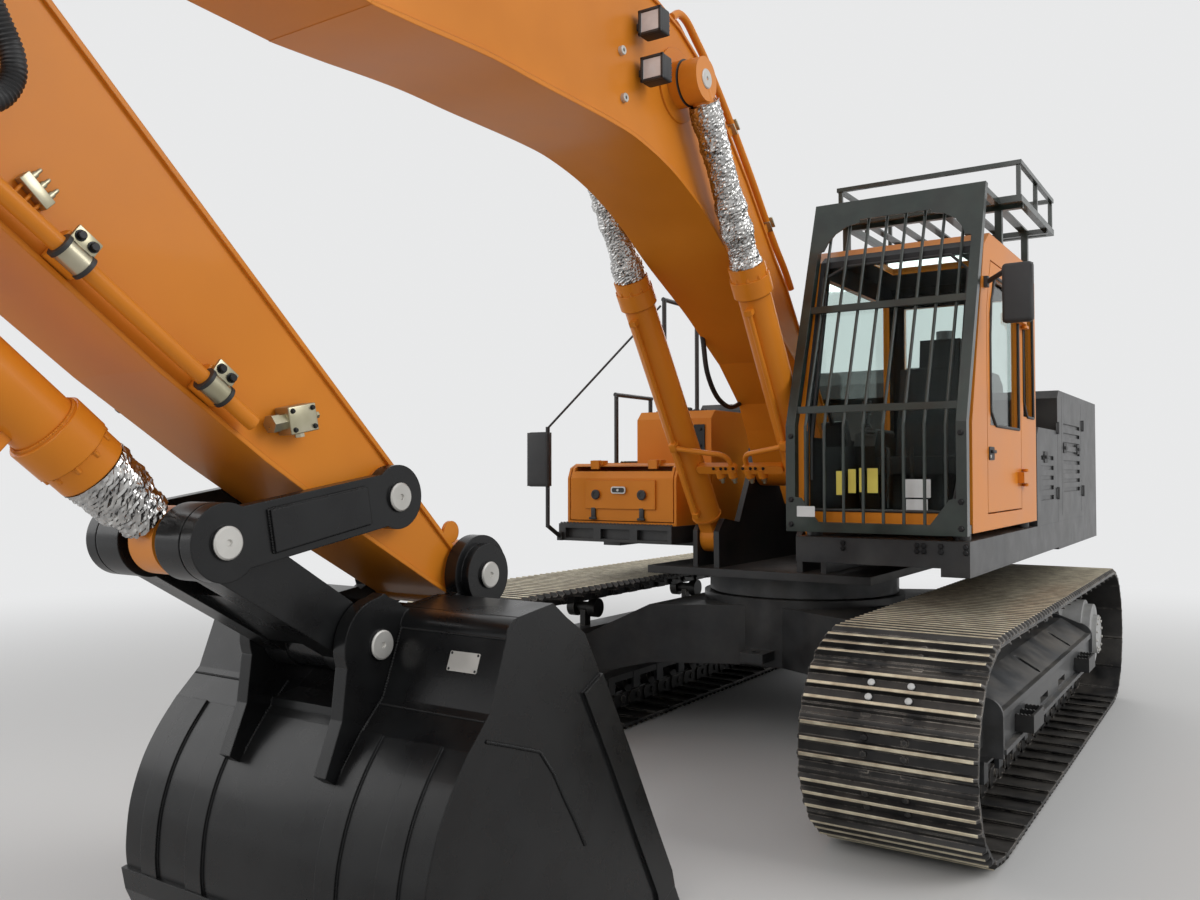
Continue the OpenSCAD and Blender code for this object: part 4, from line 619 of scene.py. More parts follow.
def makeFoilTree():
    # Crinkled foil: a tube pushed about by folds that run round it and by sharp creases
    tree, given, put = geometryTree("foilWrap", [("Fold", "Float", 0.016), ("Crease", "Float", 0.008), ("Fold scale", "Float", 9.0),
                                                 ("Crease scale", "Float", 34.0), ("Seed", "Float", 1.0), ("Finish", "Material", None)])
    place = tree.nodes.new("GeometryNodeInputPosition")
    normal = tree.nodes.new("GeometryNodeInputNormal")
    seeds = tree.nodes.new("ShaderNodeCombineXYZ")
    moved = tree.nodes.new("ShaderNodeVectorMath")
    moved.operation = "ADD"
    tree.links.new(given.outputs["Seed"], seeds.inputs[0])
    tree.links.new(place.outputs[0], moved.inputs[0])
    tree.links.new(seeds.outputs[0], moved.inputs[1])
    squeeze = tree.nodes.new("ShaderNodeVectorMath")
    squeeze.operation = "MULTIPLY"
    squeeze.inputs[1].default_value = (1.0, 1.0, 2.6)
    tree.links.new(moved.outputs[0], squeeze.inputs[0])
    total = None
    for label, amount, kind in (("Fold scale", "Fold", "ShaderNodeTexNoise"), ("Crease scale", "Crease", "ShaderNodeTexVoronoi")):
        texture = tree.nodes.new(kind)
        tree.links.new(squeeze.outputs[0], texture.inputs["Vector"])
        tree.links.new(given.outputs[label], texture.inputs["Scale"])
        centred = tree.nodes.new("ShaderNodeMath")
        centred.operation = "SUBTRACT"
        centred.inputs[1].default_value = 0.4
        tree.links.new(texture.outputs["Fac" if kind == "ShaderNodeTexNoise" else "Distance"], centred.inputs[0])
        scaled = tree.nodes.new("ShaderNodeMath")
        scaled.operation = "MULTIPLY"
        tree.links.new(centred.outputs[0], scaled.inputs[0])
        tree.links.new(given.outputs[amount], scaled.inputs[1])
        if total is None:
            total = scaled.outputs[0]
        else:
            add = tree.nodes.new("ShaderNodeMath")
            add.operation = "ADD"
            tree.links.new(total, add.inputs[0])
            tree.links.new(scaled.outputs[0], add.inputs[1])
            total = add.outputs[0]
    push = tree.nodes.new("ShaderNodeVectorMath")
    push.operation = "SCALE"
    tree.links.new(normal.outputs[0], push.inputs[0])
    tree.links.new(total, push.inputs["Scale"])
    shift = tree.nodes.new("GeometryNodeSetPosition")
    tree.links.new(given.outputs["Geometry"], shift.inputs["Geometry"])
    tree.links.new(push.outputs[0], shift.inputs["Offset"])
    return endTree(tree, given, put, shift.outputs[0])


copyTree = makeCopyTree()
hoseTree = makeHoseTree()
foilTree = makeFoilTree()


def frameAt(place, axisZ, axisX=None):
    z = Vector(axisZ).normalized()
    x = Vector(axisX) if axisX is not None else (Vector((1, 0, 0)) if abs(z.x) < 0.9 else Vector((0, 1, 0)))
    x = (x - z * x.dot(z)).normalized()
    y = z.cross(x)
    turned = Matrix((x, y, z)).transposed().to_4x4()
    turned.translation = place
    return turned


def copies(name, shape, frames, body, finish, sizes=None, smooth=30, replaced=()):
    cloud = pointCloud([m.translation for m in frames], [m.to_euler() for m in frames], sizes)
    obj = grow(name, cloud, copyTree, {"Shape": shape, "Finish": mats[finish]}, smooth)
    return keep(obj, body, finish, replaced)


def pathCurve(paths, handles="AUTO"):
    curve = bpy.data.curves.new("path", "CURVE")
    curve.dimensions = "3D"
    for points in paths:
        line = curve.splines.new("BEZIER")
        line.bezier_points.add(len(points) - 1)
        for point, place in zip(line.bezier_points, points):
            point.co = place
            point.handle_left_type = point.handle_right_type = handles
        line.resolution_u = 12
    obj = bpy.data.objects.new("path", curve)
    scene.collection.objects.link(obj)
    return obj


def hoses(name, paths, radius, body, finish="hoseRubber", ridge=0.0, pitch=0.012, step=0.02, sides=14, handles="AUTO"):
    # Tubes along given routes; a ridge makes a spiral guard or the scales of a weld
    obj = grow(name, pathCurve(paths, handles), hoseTree, {"Radius": radius, "Ridge": ridge, "Ridge pitch": pitch, "Step": step,
                                                          "Sides": sides, "Finish": mats[finish]}, 60)
    return keep(obj, body, finish)


def weld(name, paths, body, finish, radius=0.006):
    return hoses(name, paths, radius, body, finish, ridge=0.28, pitch=radius * 1.6, step=radius * 0.4, sides=7, handles="VECTOR")


def arcPath(centre, radius, low, high, y, steps=10):
    # Arc round a cross pin, angles in degrees from X towards Z
    return [centre + Vector((radius * math.cos(a), y, radius * math.sin(a)))
            for a in (math.radians(low + (high - low) * i / steps) for i in range(steps + 1))]


def crate(bm, place, size, edge=0.002, segments=2):
    # Box about the middle of a frame, with its edges rounded
    made = bmesh.ops.create_cube(bm, size=1.0, matrix=place @ Matrix.Diagonal((*size, 1)))
    if edge:
        bmesh.ops.bevel(bm, geom=list({e for v in made["verts"] for e in v.link_edges}), offset=edge, segments=segments,
                        affect="EDGES", profile=0.5)


def prism(bm, outline, place, t):
    low = [bm.verts.new(place @ Vector((x, y, 0))) for x, y in outline]
    high = [bm.verts.new(place @ Vector((x, y, t))) for x, y in outline]
    bm.faces.new(low[::-1])
    bm.faces.new(high)
    for i in range(len(outline)):
        j = (i + 1) % len(outline)
        bm.faces.new((low[i], low[j], high[j], high[i]))


def lathe(bm, profile, place, sides=32):
    # Turns a profile of [radius, height] round the Z axis of a frame
    rings = []
    for r, h in profile:
        if r <= 1e-6:
            rings.append([bm.verts.new(place @ Vector((0, 0, h)))])
        else:
            rings.append([bm.verts.new(place @ Vector((r * math.cos(math.tau * i / sides), r * math.sin(math.tau * i / sides), h)))
                          for i in range(sides)])
    for a, b in zip(rings, rings[1:]):
        for i in range(sides):
            j = (i + 1) % sides
            if len(a) == 1:
                bm.faces.new((a[0], b[i], b[j]))
            elif len(b) == 1:
                bm.faces.new((a[i], b[0], a[j]))
            else:
                bm.faces.new((a[i], b[i], b[j], a[j]))


def boltShape(name, r, h, sides=6):
    bm = bmesh.new()
    lathe(bm, [(0, 0), (r * 1.35, 0), (r * 1.35, h * 0.18), (r, h * 0.2), (r, h * 0.86), (r * 0.86, h), (0, h)], Matrix.Identity(4), sides)
    obj = meshObject(name, bm)
    obj.hide_render = True
    return obj


def roundedPlate(bm, place, w, d, t, corner=0.006, steps=4):
    # Plate with rounded corners, w along X, d along Y, t along Z of a frame
    outline = []
    for k, (sx, sy) in enumerate(((1, 1), (-1, 1), (-1, -1), (1, -1))):
        for i in range(steps + 1):
            a = math.radians(90 * k + 90 * i / steps)
            outline.append((sx * (w / 2 - corner) + corner * math.cos(a), sy * (d / 2 - corner) + corner * math.sin(a)))
    low = [bm.verts.new(place @ Vector((x, y, 0))) for x, y in outline]
    high = [bm.verts.new(place @ Vector((x, y, t))) for x, y in outline]
    bm.faces.new(low[::-1])
    bm.faces.new(high)
    n = len(outline)
    for i in range(n):
        bm.faces.new((low[i], low[(i + 1) % n], high[(i + 1) % n], high[i]))


# Tracks
trackValues = {
    "length": 5.000, "height": 1.040, "gauge": 2.740, "shoeWidth": 0.800, "shoes": 49, "grouser": 0.028, "grouserTip": 0.015,
    "plate": 0.013, "pinDepth": 0.064, "railDepth": 0.045, "railWidth": 0.052, "railGap": 0.176, "gapAtEnds": 0.004,
}


def makeShoe(v, link):
    # One shoe with three bars, its bolts, and the pair of chain links under it; Z points out of the loop
    bm = bmesh.new()
    half = link / 2
    low, high, tip = v["pinDepth"], v["pinDepth"] + v["plate"], v["pinDepth"] + v["plate"] + v["grouser"]
    g = v["grouserTip"] / 2
    profile = [(-half + 0.004, low - 0.010), (-half + 0.004, low + 0.001), (-half + 0.012, high)]
    for c in (-link / 3, 0.0, link / 3):
        profile += [(c - g - 0.007, high), (c - g, tip - 0.004), (c - g + 0.004, tip), (c + g - 0.004, tip), (c + g, tip - 0.004), (c + g + 0.007, high)]
    profile += [(half - 0.008, high), (half + 0.003, high - 0.004), (half + 0.006, low + 0.002), (half + 0.036, low - 0.016),
                (half + 0.034, low - 0.021), (half - 0.006, low - 0.004), (-half + 0.018, low),
                (-half + 0.012, low - 0.010)]
    w = v["shoeWidth"] / 2
    ends = []
    for y, cut in ((-w, 1), (-w + 0.014, 0), (w - 0.014, 0), (w, 1)):
        ends.append([bm.verts.new((x, y, z if z < high + 0.002 or not cut else high + (z - high) * 0.45)) for x, z in profile])
    n = len(profile)
    for a, b in zip(ends, ends[1:]):
        for i in range(n):
            bm.faces.new((a[i], a[(i + 1) % n], b[(i + 1) % n], b[i]))
    bm.faces.new(ends[0][::-1])
    bm.faces.new(ends[-1])
    for x in (-link / 6, link / 6):
        for y in (-v["railGap"] / 2 - 0.002, v["railGap"] / 2 + 0.002):
            lathe(bm, [(0, high), (0.017, high), (0.017, high + 0.013), (0.012, high + 0.016), (0, high + 0.016)],
                  Matrix.Translation((x, y, 0)), 6)
    for s in (-1, 1):
        y0 = s * v["railGap"] / 2
        for x0, x1, dy in ((-half - 0.028, 0.012, 0.006 * s), (-0.012, half + 0.028, -0.006 * s)):
            section = [(x0, -0.02), (x0 + 0.02, -v["railDepth"]), (x1 - 0.02, -v["railDepth"]), (x1, -0.02), (x1, 0.028), (x1 - 0.02, low), (x0 + 0.02, low), (x0, 0.028)]
            sides = [[bm.verts.new((x, y0 + dy + e * v["railWidth"] / 2 * 0.8, z)) for x, z in section] for e in (-1, 1)]
            m = len(section)
            bm.faces.new(sides[0])
            bm.faces.new(sides[1][::-1])
            for i in range(m):
                bm.faces.new((sides[0][i], sides[1][i], sides[1][(i + 1) % m], sides[0][(i + 1) % m]))
    lathe(bm, [(0, -0.125), (0.026, -0.125), (0.026, 0.125), (0, 0.125)], Matrix.Translation((half, 0, 0)) @ Matrix.Rotation(math.pi / 2, 4, "X"), 12)
    shoe = meshObject("shoeShape", bm)
    shoe.hide_render = True
    return shoe


def makeTips(v, link):
    # The top of the three bars of a shoe: worn steel, with a painted highlight
    bm = bmesh.new()
    top = v["pinDepth"] + v["plate"] + v["grouser"]
    for c in (-link / 3, 0.0, link / 3):
        crate(bm, Matrix.Translation((c, 0, top - 0.0015)), (v["grouserTip"] + 0.001, v["shoeWidth"] - 0.030, 0.006), 0.002, 1)
    tips = meshObject("tipShape", bm)
    tips.hide_render = True
    return tips


def makeTracks(v):
    endR, run = v["height"] / 2, v["length"] / 2 - v["height"] / 2
    pitchR = endR - v["grouser"] - v["plate"] - v["pinDepth"]
    link = (4 * run + math.tau * pitchR) / v["shoes"]

    def loopAt(s):
        quarter = math.pi * pitchR
        if s < run:
            return Vector((s, 0, endR - pitchR))
        if s < run + quarter:
            a = (s - run) / pitchR
            return Vector((run + pitchR * math.sin(a), 0, endR - pitchR * math.cos(a)))
        if s < 3 * run + quarter:
            return Vector((2 * run + quarter - s, 0, endR + pitchR))
        if s < 3 * run + 2 * quarter:
            a = (s - 3 * run - quarter) / pitchR
            return Vector((-run - pitchR * math.sin(a), 0, endR + pitchR * math.cos(a)))
        return Vector((s - 4 * run - 2 * quarter, 0, endR - pitchR))

    shoe = makeShoe(v, link)
    tips = makeTips(v, link)
    total = 4 * run + math.tau * pitchR
    for side, node in ((1, "track_left"), (-1, "track_right")):
        frames = []
        for i in range(v["shoes"]):
            a, b = loopAt(i * link), loopAt(((i + 1) * link) % total)
            d = (b - a).normalized()
            frames.append(frameAt((a + b) / 2 + at(0, side * v["gauge"] / 2, 0), (d.z, 0, -d.x), d))
        name = "left" if side > 0 else "right"
        copies("shoes_" + name, shoe, frames, "undercarriage", "trackSteel", smooth=25, replaced=(node,))
        copies("bright_tips_" + name, tips, frames, "undercarriage", "tipSteel", smooth=25)
        if side > 0:
            # Dabs of paint on the bolts of one shoe
            marked = min(frames, key=lambda m: (m.translation - at(2.40, 1.37, 0.86)).length)
            dabs = bmesh.new()
            for x in (-link / 6, link / 6):
                for y in (-v["railGap"] / 2 - 0.002, v["railGap"] / 2 + 0.002):
                    top = v["pinDepth"] + v["plate"] + 0.0165
                    lathe(dabs, [(0, 0.002), (0.012, 0.0015), (0.0165, -0.002), (0.0165, -0.010)], marked @ Matrix.Translation((x, y, top)), 14)
            keep(meshObject("paint_dabs", dabs, 40), "undercarriage", "labelWhite")
    bpy.data.objects.remove(shoe)
    bpy.data.objects.remove(tips)


makeTracks(trackValues)
print("tracks done")

# Foil on the piston rods
foilValues = {
    "sides": 84, "stepAlong": 0.007, "radius": 0.072, "flare": 0.018, "fold": 0.016, "crease": 0.011, "creaseScale": 50.0,
    # The bucket cylinder can still run in, so its foil is two sleeves, one inside the other
    "innerRadius": 0.062, "outerRadius": 0.089, "room": 0.080,
}


def foilOn(name, start, end, y, body, v, seed, radius=None, flares=(0.3, 1.0), swelling=1.0):
    # start is at the rod's eye, end is at the cylinder's collar
    d = end - start
    length = d.length
    place = frameAt(start + Vector((0, y, 0)), d)
    rows = int(length / v["stepAlong"])
    rng = random.Random(seed)
    bands = [(rng.uniform(0, length), rng.uniform(0.02, 0.06), rng.uniform(-0.006, 0.012)) for _ in range(12)]
    bm = bmesh.new()
    rings = []
    for r in range(rows + 1):
        h = length * r / rows
        swell = sum(b * math.exp(-((h - a) / w) ** 2) for a, w, b in bands) * swelling
        wide = v["flare"] * (flares[0] * math.exp(-h / 0.03) + flares[1] * math.exp(-(length - h) / 0.04))
        r1 = (radius or v["radius"]) + swell + wide
        ring = []
        for i in range(v["sides"]):
            a = math.tau * i / v["sides"] + h * 2.0
            ring.append(bm.verts.new((r1 * math.cos(a), r1 * math.sin(a), h)))
        rings.append(ring)
    for a, b in zip(rings, rings[1:]):
        for i in range(v["sides"]):
            j = (i + 1) % v["sides"]
            bm.faces.new((a[i], a[j], b[j], b[i]))
    bm.faces.new(rings[0][::-1])
    bm.faces.new(rings[-1])
    source = meshObject("foilSource", bm)
    obj = grow(name, source, foilTree, {"Fold": v["fold"], "Crease": v["crease"], "Crease scale": v["creaseScale"], "Seed": float(seed),
                                        "Finish": mats["foil"]})
    for vertex in obj.data.vertices:
        vertex.co = place @ vertex.co
    obj.data.update()
    return keep(obj, body, "foil")


def bunchUp(obj):
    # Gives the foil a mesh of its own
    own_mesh(obj)


def makeFoils(v):
    jackDir = (jackEye - jackPin).normalized()
    for side in (-1, 1):
        start = jackEye - jackDir * 0.118
        foil = foilOn("foil_boom_" + ("left" if side > 0 else "right"), start, jackPin + jackDir * 1.925, side * 0.378, "boom_rods", v, 5 + side)
        bunchUp(foil)
    crowdDir = (crowdEye - dipFoot).normalized()
    start = crowdEye - crowdDir * 0.158
    foil = foilOn("foil_crowd", start, dipFoot + crowdDir * 2.455, 0.0, "crowd_rod_body", v, 11, flares=(0.0, 1.0))
    bunchUp(foil)
    curlDir = (linkPin - curlFoot).normalized()
    near, far, room = curlFoot + curlDir * 1.705, linkPin - curlDir * 0.110, v["room"]
    foilOn("foil_curl_rod", far, near + curlDir * room, 0.0, "curl_rod_body", v, 17, v["innerRadius"], (0.3, 0.0), 0.4)
    foilOn("foil_curl_tube", far - curlDir * room, near, 0.0, "curl_tube_body", v, 19, v["outerRadius"], (0.0, 0.6), 0.3)


makeFoils(foilValues)
print("foil done")

# Faces of the cross pins: a turned disc with a centre hole on each end of a pin
pinValues = {
    "radius": 0.050, "lift": 0.007, "hole": 0.008,
    # body, pin, distance of the pin's end from the middle
    "ends": (("levers", leverPin, 0.272), ("levers", linkPin, 0.272), ("bucket_body", nosePin, 0.311), ("bucket_body", bucketEye, 0.277),
             ("boom_body", tipPin, 0.276), ("boom_body", dipFoot, 0.165), ("boom_rods", jackEye, 0.430), ("arm_body", curlFoot, 0.151),
             ("arm_body", crowdEye, 0.216), ("house", footPin, 0.324), ("house", jackPin, 0.478)),
}


def makePinFaces(v):
    r, t, hole = v["radius"], v["lift"], v["hole"]
    for body in sorted({row[0] for row in v["ends"]}):
        bm = bmesh.new()
        for _, pin, y in (row for row in v["ends"] if row[0] == body):
            for side in (-1, 1):
                lathe(bm, [(0, 0.001), (hole, 0.001), (hole + 0.003, t), (r - 0.005, t), (r, t - 0.004), (r, -0.0005)],
                      frameAt(pin + Vector((0, side * y, 0)), (0, side, 0)), 40)
        keep(meshObject("pin_faces_" + body, bm, 30), body, "pinSteel")


makePinFaces(pinValues)
print("pin faces done")

# Cylinder glands: a ring of bolts on the face of the collar and a bead of weld behind it
glandValues = {
    "bolts": 10, "boltOut": 0.0085, "boltRadius": 0.0078, "boltHeight": 0.022, "collar": 0.180, "step": 0.072, "flange": 0.0185,
    # name, foot pin, rod pin, length to the gland's face, tube radius, places across, body
    "rows": (("boom", jackPin, jackEye, 1.920, 0.095, (-0.378, 0.378), "boom_tubes"),
             ("crowd", dipFoot, crowdEye, 2.450, 0.105, (0.0,), "crowd_tube_body"),
             ("curl", curlFoot, linkPin, 1.700, 0.095, (0.0,), "curl_tube_body")),
}


def ringPath(place, radius, steps=28):
    return [place @ Vector((radius * math.cos(math.tau * i / steps), radius * math.sin(math.tau * i / steps), 0)) for i in range(steps + 1)]


def makeGlands(v):
    bolt = boltShape("glandBolt", v["boltRadius"], v["boltHeight"])
    for name, foot, eye, length, radius, across, body in v["rows"]:
        d = (eye - foot).normalized()
        frames, beads, rings = [], [], bmesh.new()
        for y in across:
            face = frameAt(foot + d * length + Vector((0, y, 0)), d)
            for i in range(v["bolts"]):
                a = math.tau * (i + 0.5) / v["bolts"]
                out = radius + v["boltOut"]
                frames.append(face @ Matrix.Translation((out * math.cos(a), out * math.sin(a), -v["step"])))
            beads.append(ringPath(face @ Matrix.Translation((0, 0, -v["collar"])), radius + 0.004))
            beads.append(ringPath(face @ Matrix.Translation((0, 0, -length + radius + 0.085)), radius + 0.001))
            rim = radius + v["flange"]
            lathe(rings, [(radius + 0.0095, -0.104), (rim - 0.003, -0.104), (rim, -0.101), (rim, -0.003), (rim - 0.003, 0), (radius + 0.0095, 0)],
                  face @ Matrix.Translation((0, 0, -v["step"])), 56)
        copies("gland_bolts_" + name, bolt, frames, body, "yellowPaint")
        weld("gland_beads_" + name, beads, body, "yellowPaint", 0.005)
        keep(meshObject("gland_flange_" + name, rings, 30), body, "yellowPaint")
    bpy.data.objects.remove(bolt)


makeGlands(glandValues)
print("glands done")

# Port bars at the foot of the boom cylinders: a flat arm that reaches in from each tube, its elbow pipe, two ports and their nuts
portValues = {
    "along": 0.590, "front": 0.052, "outer": 0.300, "inner": 0.022, "width": 0.058, "thick": 0.046,
    "ports": (0.060, 0.146), "portRadius": 0.031, "pipe": 0.0165,
    # along the tube, out to the front, across
    "elbow": ((0.800, 0.118, 0.378), (0.792, 0.128, 0.345), (0.768, 0.118, 0.262), (0.735, 0.095, 0.165), (0.700, 0.070, 0.085), (0.655, 0.056, 0.058),
              (0.600, 0.052, 0.056)),
}


def makePortBars(v):
    d = (jackEye - jackPin).normalized()
    n = Vector((d.z, 0, -d.x))
    bars, nuts, screws, elbows = bmesh.new(), bmesh.new(), [], []
    for side in (-1, 1):
        middle = jackPin + d * v["along"] + n * (v["front"] - v["thick"] / 2) + Vector((0, side * (v["outer"] + v["inner"]) / 2, 0))
        place = frameAt(middle, n, (0, 1, 0))
        roundedPlate(bars, place, v["outer"] - v["inner"], v["width"], v["thick"], 0.024)
        for y in v["ports"]:
            port = frameAt(jackPin + d * (v["along"] - 0.010) + n * v["front"] + Vector((0, side * y, 0)), -d)
            lathe(bars, [(0, -0.010), (v["portRadius"], -0.010), (v["portRadius"], 0.052), (v["portRadius"] - 0.004, 0.056), (0, 0.056)], port, 24)
            lathe(nuts, [(0, 0.054), (0.021, 0.054), (0.021, 0.078), (0, 0.078)], port, 6)
            lathe(nuts, [(0, 0.076), (0.014, 0.076), (0.014, 0.098), (0.011, 0.100), (0, 0.100)], port, 16)
            screws += [place @ Matrix.Translation((side * y - middle.y + a * 0.026, (0.010 + (0.004 if place[2][1] > 0 else -0.004)), v["thick"]))
                       for a in (-1, 1)]
        crate(bars, frameAt(jackPin + d * 0.800 + n * 0.122 + Vector((0, side * 0.378, 0)), n, d), (0.062, 0.052, 0.050), 0.008)
        elbows.append([jackPin + d * a + n * b + Vector((0, side * c, 0)) for a, b, c in v["elbow"]])
    hoses("jack_elbows", elbows, v["pipe"], "boom_tubes", "yellowPaint", step=0.012, sides=18)
    bolt = boltShape("portScrew", 0.0085, 0.010)
    copies("jack_port_screws", bolt, screws, "boom_tubes", "boltBlack")
    bpy.data.objects.remove(bolt)
    keep(meshObject("jack_port_bars", bars, 35), "boom_tubes", "yellowPaint")
    keep(meshObject("jack_port_nuts", nuts, 35), "boom_tubes", "zincFittings")


makePortBars(portValues)
print("port bars done")

# Oil pipes on the arm, with their clamps, the valve at the lower end and the grease manifold
armPipeValues = {
    "y": 0.250, "radius": 0.024, "ends": ((2.62, 0.548), (1.120, 0.3365)), "clamps": (1.285, 1.801, 2.350),
    "shellRadius": 0.034, "shellLength": 0.078, "boltRadius": 0.0115, "boltHeight": 0.015,
    "valve": (1.008, 0.197), "valveAxis": (0.562, 0.827), "valveSize": (0.110, 0.088, 0.066), "face": 0.196,
}


def clampOn(shells, rims, brackets, bolts, place, v, flangeSide):
    # Place: Z away from the arm, X along the pipe; flangeSide picks the side of its bolts
    r, half = v["shellRadius"], v["shellLength"] / 2
    along = place @ Matrix.Rotation(math.pi / 2, 4, "Y")
    lathe(shells, [(r - 0.004, -half), (r, -half + 0.002), (r, half - 0.002), (r - 0.004, half)], along, 28)
    for s in (-1, 1):
        lathe(rims, [(v["radius"], s * half - 0.007), (r + 0.003, s * half - 0.006), (r + 0.003, s * half + 0.006), (v["radius"], s * half + 0.007)], along, 28)
    ear = place @ Matrix.Translation((0, flangeSide * (r + 0.019), 0.004))
    crate(shells, ear, (v["shellLength"], 0.052, 0.012), 0.003)
    crate(brackets, place @ Matrix.Translation((0, flangeSide * 0.012, -0.030)), (v["shellLength"] + 0.012, 0.092, 0.044), 0.004)
    for s in (-1, 1):
        bolts.append(ear @ Matrix.Translation((s * 0.021, flangeSide * 0.002, 0.006)))


def makeArmPipes(v):
    high, low = (onArm(*e, v["y"]) for e in v["ends"])
    alongPipe = (high - low).normalized()
    mirrored = Matrix.Diagonal((1, -1, 1))
    hoses("arm_pipes", [[low, high], [mirrored @ low, mirrored @ high]], v["radius"], "arm_body", "yellowPaint", step=0.2, sides=28,
          handles="VECTOR")
    shells, rims, brackets, screws = bmesh.new(), bmesh.new(), bmesh.new(), []
    s0, d0 = v["ends"][1]
    s1, d1 = v["ends"][0]
    for s in v["clamps"]:
        d = d0 + (s - s0) * (d1 - d0) / (s1 - s0)
        for side in (-1, 1):
            clampOn(shells, rims, brackets, screws, frameAt(onArm(s, d, side * v["y"]), (0, side, 0), alongPipe), v, -side)
    # Valve block with its two nuts, two plugs and corner screws
    valve = frameAt(onArm(*v["valve"], v["face"] + v["valveSize"][2] / 2 + 0.006), (0, 1, 0),
                    onArm(*v["valveAxis"]) - onArm(0, 0))
    w, h, t = v["valveSize"]
    crate(shells, valve, v["valveSize"], 0.004, 3)
    crate(brackets, valve @ Matrix.Translation((0, 0, -t / 2 - 0.004)), (w * 0.8, h * 0.8, 0.010), 0.001)
    alongValve = valve @ Matrix.Rotation(math.pi / 2, 4, "Y")
    for start, end, radius in ((0.055, 0.078, 0.027), (0.080, 0.108, 0.030), (-0.055, -0.068, 0.019), (-0.068, -0.084, 0.012)):
        lathe(shells, [(0, start), (radius, start), (radius, end), (0, end)], alongValve, 6)
    lathe(shells, [(0, 0.04), (0.016, 0.04), (0.016, 0.058), (0, 0.058)], valve @ Matrix.Rotation(-math.pi / 2, 4, "X"), 6)
    small = boltShape("capScrew", v["boltRadius"], v["boltHeight"], 16)
    copies("arm_clamp_screws", small, screws, "arm_body", "boltBlack")
    copies("valve_screws", small, [valve @ Matrix.Translation((a * w * 0.36, b * h * 0.34, t / 2)) for a in (-1, 1) for b in (-1, 1)],
           "arm_body", "boltBlack", sizes=[0.55] * 4)
    bpy.data.objects.remove(small)
    # Grease manifold: three nipples, three thin pipes that run up the arm
    bar = frameAt(onArm(1.965, 0.372, 0.212), (0, 1, 0), armDir)
    crate(shells, bar, (0.095, 0.034, 0.030), 0.003)
    thin = []
    for i in range(3):
        s = 1.935 + i * 0.030
        lathe(shells, [(0, 0), (0.0095, 0), (0.0095, 0.016), (0.006, 0.018), (0.006, 0.030), (0.004, 0.036), (0, 0.036)],
              frameAt(onArm(s, 0.356, 0.212), onArm(0, -1) - onArm(0, 0)), 12)
        out = 0.418 + i * 0.014
        thin.append([onArm(s, 0.388, 0.212), onArm(s, out - 0.010, 0.210), onArm(s + 0.012, out, 0.206), onArm(3.02, out + 0.030, 0.206)])
    hoses("grease_pipes", thin, 0.0048, "arm_body", "yellowPaint", step=0.012, sides=8, handles="AUTO")
    keep(meshObject("arm_clamps", shells, 35), "arm_body", "zincFittings")
    keep(meshObject("arm_clamp_rims", rims, 35), "arm_body", "hoseRubber")
    keep(meshObject("arm_clamp_brackets", brackets, 35), "arm_body", "yellowPaint", replaced=("arm_lines",))
    # Guarded hose between the two ends of the upper pipes, both on the arm
    hoses("arm_hose_loop", [[onArm(2.62, 0.545, 0.252), onArm(2.41, 0.49, 0.30), onArm(2.22, 0.42, 0.305), onArm(2.195, 0.29, 0.305), onArm(2.33, 0.20, 0.30),
                             onArm(2.64, 0.14, 0.28), onArm(3.00, 0.12, 0.235)]], 0.0280, "arm_body", "hoseRubber", ridge=0.07, pitch=0.011, step=0.0028,
          sides=16)


makeArmPipes(armPipeValues)
print("arm pipes done")

# Work lamps on the boom, with their cables and the lugs beside them
lampValues = {
    "places": ((3.068, 1.302), (2.987, 1.096)), "y": 0.347, "size": (0.082, 0.128, 0.124), "lens": (0.100, 0.096), "face": 0.256,
}


def makeLamps(v):
    bodies, lenses, lugs, cables = bmesh.new(), bmesh.new(), bmesh.new(), []
    dx, dy, dz = v["size"]
    for s, h in v["places"]:
        place = Matrix.Translation(onBoom(s, h, v["y"]))
        crate(bodies, place, v["size"], 0.012, 3)
        for k in range(5):
            crate(bodies, place @ Matrix.Translation((-dx / 2 - 0.008, 0, -0.044 + k * 0.022)), (0.022, dy * 0.8, 0.006), 0.001, 1)
        # Bezel of four bars round the lens
        for sign in (-1, 1):
            crate(bodies, place @ Matrix.Translation((dx / 2 + 0.004, sign * dy * 0.44, 0)), (0.014, 0.014, dz), 0.003)
            crate(bodies, place @ Matrix.Translation((dx / 2 + 0.004, 0, sign * dz * 0.44)), (0.014, dy, 0.014), 0.003)
        crate(lenses, place @ Matrix.Translation((dx / 2 + 0.002, 0, 0)), (0.006, *v["lens"]), 0.001, 1)
        # Bracket to the boom's side plate
        crate(bodies, place @ Matrix.Translation((0, -dy / 2 - 0.014, 0)), (0.034, 0.056, 0.034), 0.003)
        start = onBoom(s, h, v["y"] - 0.02) + Vector((-dx / 2 - 0.010, 0, 0.02))
        end = onBoom(s - 0.05, h + 0.115, v["face"])
        cables.append([start, start + Vector((-0.06, 0.0, 0.03)), (start + end) / 2 + Vector((-0.08, 0.02, 0.05)), end])
        lug = frameAt(onBoom(s + 0.11, h - 0.205, v["face"]), (0, 1, 0))
        lathe(lugs, [(0.007, 0.016), (0.009, 0.020), (0.020, 0.020), (0.022, 0.017), (0.022, -0.002)], lug, 20)
        lathe(bodies, [(0, 0.012), (0.0085, 0.012), (0.0085, 0.018), (0, 0.018)], lug, 12)
    keep(meshObject("work_lamp_bodies", bodies, 30), "boom_body", "darkPlastic", replaced=("work_lamps",))
    keep(meshObject("work_lamp_lenses", lenses), "boom_body", "lensClear")
    keep(meshObject("boom_lugs", lugs, 30), "boom_body", "pinSteel")
    hoses("work_lamp_cables", cables, 0.0055, "boom_body", "hoseRubber", step=0.01, sides=8)


makeLamps(lampValues)
print("lamps done")

